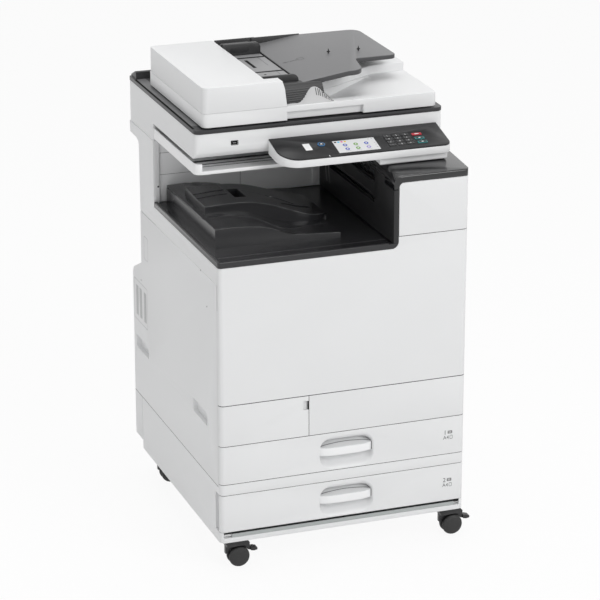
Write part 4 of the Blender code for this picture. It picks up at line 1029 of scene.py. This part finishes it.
def key_legends():
    """Digits and signs on the keys, the wide keys' raised middles and the home key's disc."""
    for k, name in enumerate("1 2 3 4 5 6 7 8 9 star 0 hash".split()):
        x, v = PAD_X + PAD_STEP_X * (k % 3), PAD_V + PAD_STEP_V * (k // 3)
        words = {"star": "*", "hash": "#"}.get(name, name)
        node = "key_" + name
        size = 2.4 if name == "star" else 4.2
        place = on_face(v, 1.0)
        lettering(node + "_sign", words, size, (x, 0), place, MARK_WHITE, node)
    keys = (
        ("key_stop", PANEL_RIGHT - 64, STOP_V, 11.5, 4.4, STOP_RED),
        ("key_start_mono", PANEL_RIGHT - 63.5, MONO_V, 11, 4.6, KEY_DARK),
        ("key_start_colour", PANEL_RIGHT - 62.5, COLOUR_V, 11, 4.6, KEY_DARK),
    )
    for node, x, v, hx, hv, finish in keys:
        place = on_face(v)
        inner = rounded_plan(x - hx + 1.7, x + hx - 1.7, -hv + 1.5, hv - 1.5, 1.0, 3)
        surface(node + "_middle", pillow(inner, 0.8, 1.2, 0.15, place), finish, node)
    diamond = np.array([(1, 0), (0, 1), (-1, 0), (0, -1)], float) * (3.2, 1.8)
    for node, x, v, *_ in keys[1:]:
        sign = pillow(diamond + (x, 0), 1.0, 1.4, 0.1, on_face(v))
        surface(node + "_sign", sign, MARK_WHITE, node)
    bar = (PANEL_RIGHT - 69, PANEL_RIGHT - 59, -1.2, 1.2, 0.5, 2)
    sign = slab(*bar, 1.0, 1.4, 0.1, on_face(STOP_V))
    surface("key_stop_sign", sign, MARK_WHITE, "key_stop")
    x = PANEL_RIGHT - 290.7
    disc = studs([(x, 0)], 6.2, 0.3, on_face(HOME_V, 0.75), 28)
    surface("key_home_middle", disc, KEY_DARK, "key_home")
    house = np.array([(-2.2, -1.8), (2.2, -1.8), (2.2, 0.6), (0, 2.6), (-2.2, 0.6)]) + (x, 0)
    sign = pillow(house, 0.9, 1.3, 0.1, on_face(HOME_V))
    surface("key_home_sign", sign, MARK_WHITE, "key_home")


def screen_picture():
    """Lit display: a pale ground with ink levels, six round function signs and side marks."""
    x0, v0, hx, hv = PANEL_RIGHT - 214.5, 63.5, 48.7, 25.7
    place = on_face(v0, 0.3)

    def lit(name, grids, finish):
        surface("screen_" + name, grids, finish)

    for k, ink in enumerate((INK_BLACK, INK_CYAN, INK_MAGENTA, INK_YELLOW)):
        x = x0 - hx + 5.5 + 7.6 * k
        level = rounded_plan(x - 2.4, x + 2.4, hv - 8.2, hv - 3.2, 0.5, 2)
        lit("ink_%d" % k, pillow(level, 0, 0.12, 0.05, place), ink)
    turn = np.linspace(0, 2 * math.pi, 24, endpoint=False)
    tones = (SCREEN_BLUE, SCREEN_GREEN, SCREEN_BLUE, SCREEN_BLUE, SCREEN_GREEN, SCREEN_LILAC)
    for k, tone in enumerate(tones):
        x, w = x0 - 25 + 25 * (k % 3), 5.5 - 17 * (k // 3)
        ring = np.stack([x + 5.2 * np.cos(turn), w + 5.2 * np.sin(turn)], -1)
        lit("sign_%d" % k, pillow(ring, 0, 0.14, 0.05, place), tone)
        sheet = rounded_plan(x - 1.6, x + 1.6, w - 2.2, w + 2.2, 0.4, 2)
        lit("sign_sheet_%d" % k, pillow(sheet, 0.1, 0.2, 0.03, place), SCREEN_WHITE)
        line = rounded_plan(x - 6, x + 6, w - 8.4, w - 7.2, 0.3, 2)
        lit("line_%d" % k, pillow(line, 0, 0.12, 0.03, place), SCREEN_GREY)
    marks = []
    for x, w in ((hx - 6, hv - 5), (hx - 14, hv - 5), (hx - 4, 4), (hx - 4, -4), (hx - 4, -14)):
        marks += slab(x0 + x - 2, x0 + x + 2, w - 1, w + 1, 0.4, 2, 0, 0.12, 0.03, place)
    lit("marks", marks, SCREEN_GREY)
    sides = (x0 - hx - 0.4, x0 + hx + 0.4, -hv - 0.4, hv + 0.4)
    edge = outlined(*sides, 1.2, 3, 0.9, 0.25, on_face(v0))
    surface("screen_edge", edge, KEY_DARK, closed=False)


def panel_marks():
    """Bare card, the small lamp and the line mark on the panel's face."""
    face = on_face(50.5)
    card = rounded_plan(PANEL_RIGHT - 333, PANEL_RIGHT - 317, -14, 14, 0.8, 2)
    surface("panel_card", pillow(card, 0, 0.3, 0.1, face), CARD_WHITE)
    lamp = studs([(PANEL_RIGHT - 62.4, 0)], 1.3, 0.5, on_face(68.7), 14)
    surface("panel_lamp", lamp, START_TEAL)
    sides = (PANEL_RIGHT - 289.8, PANEL_RIGHT - 288.2, -3, 3)
    mark = slab(*sides, 0.4, 2, 0, 0.2, 0.05, on_face(96))
    surface("panel_line_mark", mark, MARK_WHITE)


def scanner_marks():
    """Stick port at the scanner's left front, and the grey channel on the left of its frame."""
    front, back = facing_front(SCAN_LOW[1]), facing_front(SCAN_LOW[1] + 3.0)
    x = LEFT + 92.5
    edge = outlined(x - 8.1, x + 8.1, 955, 965, 1.0, 3, 1.0, 0.15, front)
    surface("stick_port_edge", edge, SLOT_DARK, closed=False)
    lining = slab(x - 7.4, x + 7.4, 955.6, 963.9, 0.3, 2, 0, 1.0, 0.1, back)
    surface("stick_port_lining", lining, SLOT_DARK)
    tongue = slab(x - 4.0, x + 4.0, 958.6, 960.8, 0.3, 2, 0.9, 2.4, 0.2, back)
    surface("stick_port_tongue", tongue, MARK_GREY)
    flat = lying(SCAN_HIGH[2] + 9.0)
    y0, y1 = SCAN_LOW[1] + 40.0, SCAN_HIGH[1] - 42.0
    edge = ribbon([(LEFT + 4, y0 - 22), (LEFT + 4, 400), (LEFT + 4, y1)], 5.0, 0.25, flat)
    surface("scanner_frame_edge", edge, SLOT_DARK, closed=False)
    channel = slab(LEFT + 7.0, LEFT + 29.0, y0, y1, 1.0, 2, 0, 0.3, 0.1, flat)
    surface("scanner_frame_channel", channel, TRAY_GREY)
    ledge = slab(LEFT + 30.4, LEFT + 42.0, y0 - 12, y1, 1.0, 2, 0, 0.3, 0.1, flat)
    surface("scanner_frame_ledge", ledge, TRAY_SIDE)


# Painted shade on the shelf floor under the scanner: bands going darker towards the back.
SHELF_SHADE_BANDS = ((90.0, 12.0, GUIDE_BLACK), (66.0, 6.0, TRAY_SIDE), (48.0, 4.0, TRAY_GREY))


def shelf_shade_bands():
    """Bands of painted shade along the floor of the shelf under the scanner, darker towards the
    back: place, width and finish.
    """
    low, high = box_mm("shelf_tray")
    flat = lying(low[2] + 3.0)
    for k, (y, width, finish) in enumerate(SHELF_SHADE_BANDS):
        path = [(low[0] + 18, low[1] + y), (0, low[1] + y), (high[0] - 4, low[1] + y)]
        shade_band = ribbon(path, width, 0.3, flat)
        surface("shelf_shade_band_%d" % k, shade_band, finish, closed=False)


# --- Document feeder --------------------------------------------------------------------------
FEED_X1 = FEED_LOW[0] + 152.0
TABLE_X = FEED_LOW[0] + 244.0
CHEEK_RIGHT = FEED_LOW[0] + 195.0


def feed_table():
    """Grey table under the originals: a fine sheet, its dark guide slots and sensor window."""
    y0, y1 = LID_LOW[1] + 34.6, TRAY_HIGH[1] - 8.6
    low, flat = TABLE_Z - 0.5, lying(TABLE_Z)

    def top(x, y):
        return TABLE_Z + 0.2 + 0.0 * x

    xs, ys = np.linspace(FEED_X1 + 4, TABLE_X - 0.3, 14), np.linspace(y0, y1, 40)
    sheet = relief(xs, ys, top, low)
    surface("feed_table_sheet", sheet, TABLE_GREY, "platen_cover", sharp=60)
    slots, lips = [], []
    for y in (320.0, 449.0):
        path = np.array([(FEED_X1 + 6, y), (-70, y), (TABLE_X - 0.6, y)])
        slots += ribbon(path, 9.5, 0.27, flat)
        lips += ribbon(path + (0, 2.6), 1.8, 0.34, flat)
    slots += ribbon([(-82.5, 359), (-82.5, 390), (-82.5, 428)], 7.5, 0.28, flat)
    right = TABLE_X - 1.0
    slots += ribbon([(right, y0), (right, 400), (right, y1)], 2.4, 0.3, flat)
    surface("feed_table_slots", slots, SLOT_DARK, "platen_cover", closed=False)
    surface("feed_table_slot_lips", lips, TRAY_SIDE, "platen_cover", closed=False)
    lines = ribbon([(-47.6, 371), (-47.6, 400), (-47.6, 444)], 1.3, 0.29, flat)
    lines += ribbon([(-47.6, 284), (-47.6, 295), (-47.6, 313)], 1.3, 0.29, flat)
    surface("feed_table_lines", lines, TRAY_SIDE, "platen_cover", closed=False)
    hole = studs([(-80.6, 296)], 3.2, 0.3, flat, 10)
    surface("feed_table_hole", hole, SLOT_DARK, "platen_cover")


def rear_rails():
    """Dark rail behind the originals in two lengths, one on the lid and one on the tray.

    They pass each other side by side when the tray is lifted.
    """
    across = np.array([0, 0, 0.3, 1.0, 1.8, 2.5, 2.8, 2.8])
    top = FEED_HIGH[2] - 0.5
    up = np.array([-20, -1.2, -0.4, 0, 0, -0.4, -1.2, -20])
    for name, body, x0, x1, y in (
        ("feed_table", "platen_cover", FEED_X1 + 4, TABLE_X + 8, TRAY_HIGH[1] + 0.6),
        ("document_tray", "document_tray", TABLE_X + 1, TABLE_X + 118, TRAY_HIGH[1] - 3.0),
    ):
        name += "_rear_rail"
        x = np.linspace(x0, x1, 20)
        height = top + up[None, :] + 0.0 * x[:, None]
        grid = np.stack(np.broadcast_arrays(x[:, None], (y + across)[None, :], height), -1)
        # The rail takes the darkest black, painted shade on its face, and the lighter grey strip
        # along its top is painted light on that top.
        surface(name, tube(grid), WALL_BLACK, body)
        lit_top = ribbon(np.stack([x, np.full_like(x, y + 1.4)], -1), 2.2, 0.15, lying(top))
        surface(name + "_painted_lit_top", lit_top, TRAY_SIDE, body, closed=False)


def tray_marks():
    """Two small upright stops, an arrow and a paper sign on the document tray."""
    upright = facing_front(357.0)
    turn = np.linspace(0, 2 * math.pi, 16, endpoint=False)
    reach = np.where(np.arange(16) % 4 == 0, 1.0, np.where(np.arange(16) % 2 == 0, 0.45, 0.55))
    star = np.stack([4.6 * reach * np.cos(turn), 7.6 * reach * np.sin(turn)], -1)
    stops = []
    for x in (92.0, 165.0):
        stops += pillow(star + (x, TRAY_HIGH[2] + 4.5), 0, 1.6, 0.3, upright)
    surface("document_tray_stops", stops, WALL_BLACK, "document_tray")
    slope = (TRAY_HIGH[2] - TABLE_Z - 3) / 111.0

    def on_slope(u, v, h):
        return np.stack([u, v, TABLE_Z + 3 + (u - TABLE_X - 0.6) * slope + h + 0.08], -1)

    arrow = np.array([(-9, 0), (-1, 4.4), (-1, 1.1), (6, 1.1), (6, -1.1), (-1, -1.1), (-1, -4.4)])
    marks = pillow(arrow + (-8, 361), 0, 0.25, 0.1, on_slope)
    for k in range(3):
        marks += slab(1 + 6 * k, 5.4 + 6 * k, 359.4, 362.4, 0.6, 2, 0, 0.25, 0.1, on_slope)
    surface("document_tray_arrow", marks, TRAY_SIDE, "document_tray")
    sheet = outlined(20, 33, 354, 370, 1.0, 3, 1.2, 0.2, on_slope)
    surface("document_tray_sheet_sign", sheet, TRAY_SIDE, "document_tray", closed=False)


def exit_guide():
    """Dark ribbed guide under the document tray, and the pale toothed lip in front of it.

    At the share t up the guide its front stands 21 t^1.5 further back, less a ripple of
    1.4 |sin| from rib to rib; the ribs fan out to the right.
    """
    x0, x1 = CHEEK_RIGHT - 6, TABLE_X + 44
    y0 = LID_LOW[1] + 12.5
    low, high = SEAM_Z + 1.5, TABLE_Z + 3.2
    t = np.linspace(0, 1, 120)[None, :]
    s = np.linspace(0, 1, 30)[:, None]
    x = x0 + s * (x1 - x0)
    height = low + (high - low) * (t * (1 - 0.35 * s) + 0.35 * s * t**0.6)
    ripple = 1.4 * np.abs(np.sin(t * 9 * math.pi)) * smooth((1 - t) / 0.3)
    front = y0 + 21 * t**1.5 - ripple
    face = np.stack(np.broadcast_arrays(x, front, height), -1)
    guide_front = box_mm("front_guide")[0][1] - 1.1
    rear = np.stack(np.broadcast_arrays(x, np.full_like(t, guide_front), height), -1)
    rear[:, :, 1] = np.where(rear[:, :, 2] > TABLE_Z + 0.4, guide_front, y0 + 20.2)
    rear[:, :-12, 1] = np.minimum(rear[:, :-12, 1], y0 + 20.2)
    grid = np.concatenate([face, rear[:, ::-1]], 1)
    surface("exit_guide_ribs", tube(grid), GUIDE_BLACK, "platen_cover", sharp=60)
    x = np.linspace(CHEEK_RIGHT + 1, TABLE_X + 64, 90)
    s = smooth((x + 52.0) / 44.0) * (1 - smooth((x + 6.0) / 44.0))
    lift = SEAM_Z + 2.0 + 31.0 * s + 1.3 * np.sin((x + 75) / 9.0) * (1 - s)
    share = np.array([0, 0.06, 0.5, 0.94, 1.0])
    y = y0 - 8 + share[None, :] * (7.2 + 13.0 * s[:, None] ** 1.5)
    rise = np.array([0, 0.1, 0.55, 0.97, 1.0])
    z = SEAM_Z - 0.6 + rise[None, :] * (lift - SEAM_Z + 0.6)[:, None]
    grid = np.stack(np.broadcast_arrays(x[:, None], y, z), -1)
    grids = [(grid, False, False)]
    surface(
        "exit_guide_lip", grids, LIP_GREY, "platen_cover", closed=False, sharp=60
    )
    teeth = []
    for tooth in np.arange(-4.0, 34.0, 4.6):
        k = int(np.argmin(np.abs(x - tooth)))
        low_end, high_end = grid[k, 1], grid[k, 3]
        share = np.array([0.45, 0.97])[:, None]
        path = low_end + (high_end - low_end) * share + np.array([0, -0.5, 0.2])
        side = np.array([0.9, 0, 0])
        teeth.append((np.stack([path - side, path + side]), False, False))
    surface("exit_guide_teeth", teeth, TRAY_SIDE, "platen_cover", closed=False, sharp=60)


def corner_cut(x0, x1, z0, z1, r, steps=8):
    """Outline of a rectangle with one rounded corner, at its top right."""
    turn = np.linspace(0, math.pi / 2, steps)
    arc = np.stack([x1 - r + r * np.cos(turn), z1 - r + r * np.sin(turn)], -1)
    return np.concatenate([[(x1, z0)], arc, [(x0, z1), (x0, z0)]])


def guide_faces():
    """The side guides' upright faces, rounded at the far top corner; the rear one carries a darker
    panel standing a little proud.
    """
    low, high = box_mm("rear_guide")
    front = facing_front(low[1] + 1.0)
    plan = corner_cut(low[0] - 1, high[0] + 1.5, low[2] + 0.4, high[2] + 5.5, 13.0)
    face = pillow(plan, -7.0, 3.2, 1.4, front)
    surface("rear_guide_face", face, GUIDE_BLACK, "rear_guide", sharp=50)
    plan = rounded_plan(low[0] + 14, high[0] - 26, low[2] + 6, high[2] - 2, 7, 5)
    surface("rear_guide_panel", pillow(plan, 0, 3.7, 0.4, front), WALL_BLACK, "rear_guide")
    low, high = box_mm("front_guide")
    front = facing_front(low[1] + 1.0)
    plan = corner_cut(low[0] + 0.5, high[0], low[2] + 0.4, high[2] + 1.5, 14.0)
    face = pillow(plan, -3.0, 1.7, 0.8, front)
    surface("front_guide_face", face, GUIDE_BLACK, "front_guide", sharp=50)


cover_pieces()
for node, digit in (("upper_drawer", "1"), ("lower_drawer", "2")):
    drawer_dish(node)
    drawer_bar(node)
    drawer_marks(node, digit)
stabiliser()
side_details()
exit_tray_pieces()
exit_tray_rim()
bay_details()
key_legends()
screen_picture()
panel_marks()
scanner_marks()
shelf_shade_bands()
feed_table()
rear_rails()
tray_marks()
exit_guide()
guide_faces()
seam_shade_sheets()


# --- Floor, light and camera ----------------------------------------------------------------
def seen_rays(tree):
    """1 for the rays of the camera, of reflections and of glass, 0 for light on a surface."""
    path = tree.nodes.new("ShaderNodeLightPath")
    value = path.outputs["Is Camera Ray"]
    for kind in ("Is Glossy Ray", "Is Transmission Ray"):
        either = tree.nodes.new("ShaderNodeMath")
        either.operation = "MAXIMUM"
        tree.links.new(value, either.inputs[0])
        tree.links.new(path.outputs[kind], either.inputs[1])
        value = either.outputs["Value"]
    return value


def floor():
    """A wide level sheet at the floor's height, pale, part of its light its own."""
    mesh = bpy.data.meshes.new("floor")
    side = 14.0
    mesh.from_pydata(
        [(-side, -side, 0), (side, -side, 0), (side, side, 0), (-side, side, 0)],
        [],
        [(0, 1, 2, 3)],
    )
    made, tree, shader = shader_of("pale_floor", (0.9, 0.9, 0.9), 0.6)
    nodes, links = tree.nodes, tree.links
    glow = nodes.new("ShaderNodeEmission")
    glow.inputs["Strength"].default_value = 1.0
    share = nodes.new("ShaderNodeMath")
    share.operation = "MULTIPLY"
    share.inputs[1].default_value = 0.92
    mix = nodes.new("ShaderNodeMixShader")
    links.new(seen_rays(tree), share.inputs[0])
    links.new(share.outputs["Value"], mix.inputs["Fac"])
    links.new(shader.outputs["BSDF"], mix.inputs[1])
    links.new(glow.outputs["Emission"], mix.inputs[2])
    links.new(mix.outputs["Shader"], nodes["Material Output"].inputs["Surface"])
    mesh.materials.append(made)
    sheet = bpy.data.objects.new("floor", mesh)
    scene.collection.objects.link(sheet)


def world():
    """Even pale surroundings, plain white where the camera sees them."""
    sky = bpy.data.worlds.new("studio")
    scene.world = sky
    sky.use_nodes = True
    nodes, links = sky.node_tree.nodes, sky.node_tree.links
    ground = nodes["Background"]
    ground.inputs["Color"].default_value = (1, 1, 1, 1)
    ground.inputs["Strength"].default_value = 0.44
    seen = nodes.new("ShaderNodeBackground")
    seen.inputs["Color"].default_value = (1, 1, 1, 1)
    seen.inputs["Strength"].default_value = 1.0
    mix = nodes.new("ShaderNodeMixShader")
    links.new(seen_rays(sky.node_tree), mix.inputs["Fac"])
    links.new(ground.outputs["Background"], mix.inputs[1])
    links.new(seen.outputs["Background"], mix.inputs[2])
    links.new(mix.outputs["Shader"], nodes["World Output"].inputs["Surface"])


def lamp(name, place, target, size, power):
    """A square soft box at place, turned to the target, both in metres."""
    light = bpy.data.lights.new(name, "AREA")
    light.size = size
    light.energy = power
    holder = bpy.data.objects.new(name, light)
    holder.location = place
    aim = Vector(target) - Vector(place)
    holder.rotation_mode = "QUATERNION"
    holder.rotation_quaternion = aim.to_track_quat("-Z", "Y")
    scene.collection.objects.link(holder)


def camera():
    """A long lens at the front left, level, at the height of a raised eye."""
    data = bpy.data.cameras.new("camera")
    data.lens = 169.1
    data.sensor_width = 36.0
    data.clip_end = 60.0
    eye = bpy.data.objects.new("camera", data)
    place = Vector(at((-2087.8, -5469.4, 2711.2)))
    target = Vector(at((-105.5, 0.0, 635.1)))
    eye.location = place
    eye.rotation_mode = "QUATERNION"
    eye.rotation_quaternion = (target - place).to_track_quat("-Z", "Y")
    scene.collection.objects.link(eye)
    scene.camera = eye


floor()
world()
lamp("key_light", (1.6, -4.0, 3.2), (0, 0, 0.6), 2.2, 92)
lamp("fill_light", (-3.8, -1.6, 2.0), (0, 0, 0.6), 2.4, 20)
lamp("top_light", (0.0, 0.4, 4.2), (0, 0, 0.6), 2.4, 48)
camera()
scene.view_settings.view_transform = "Standard"
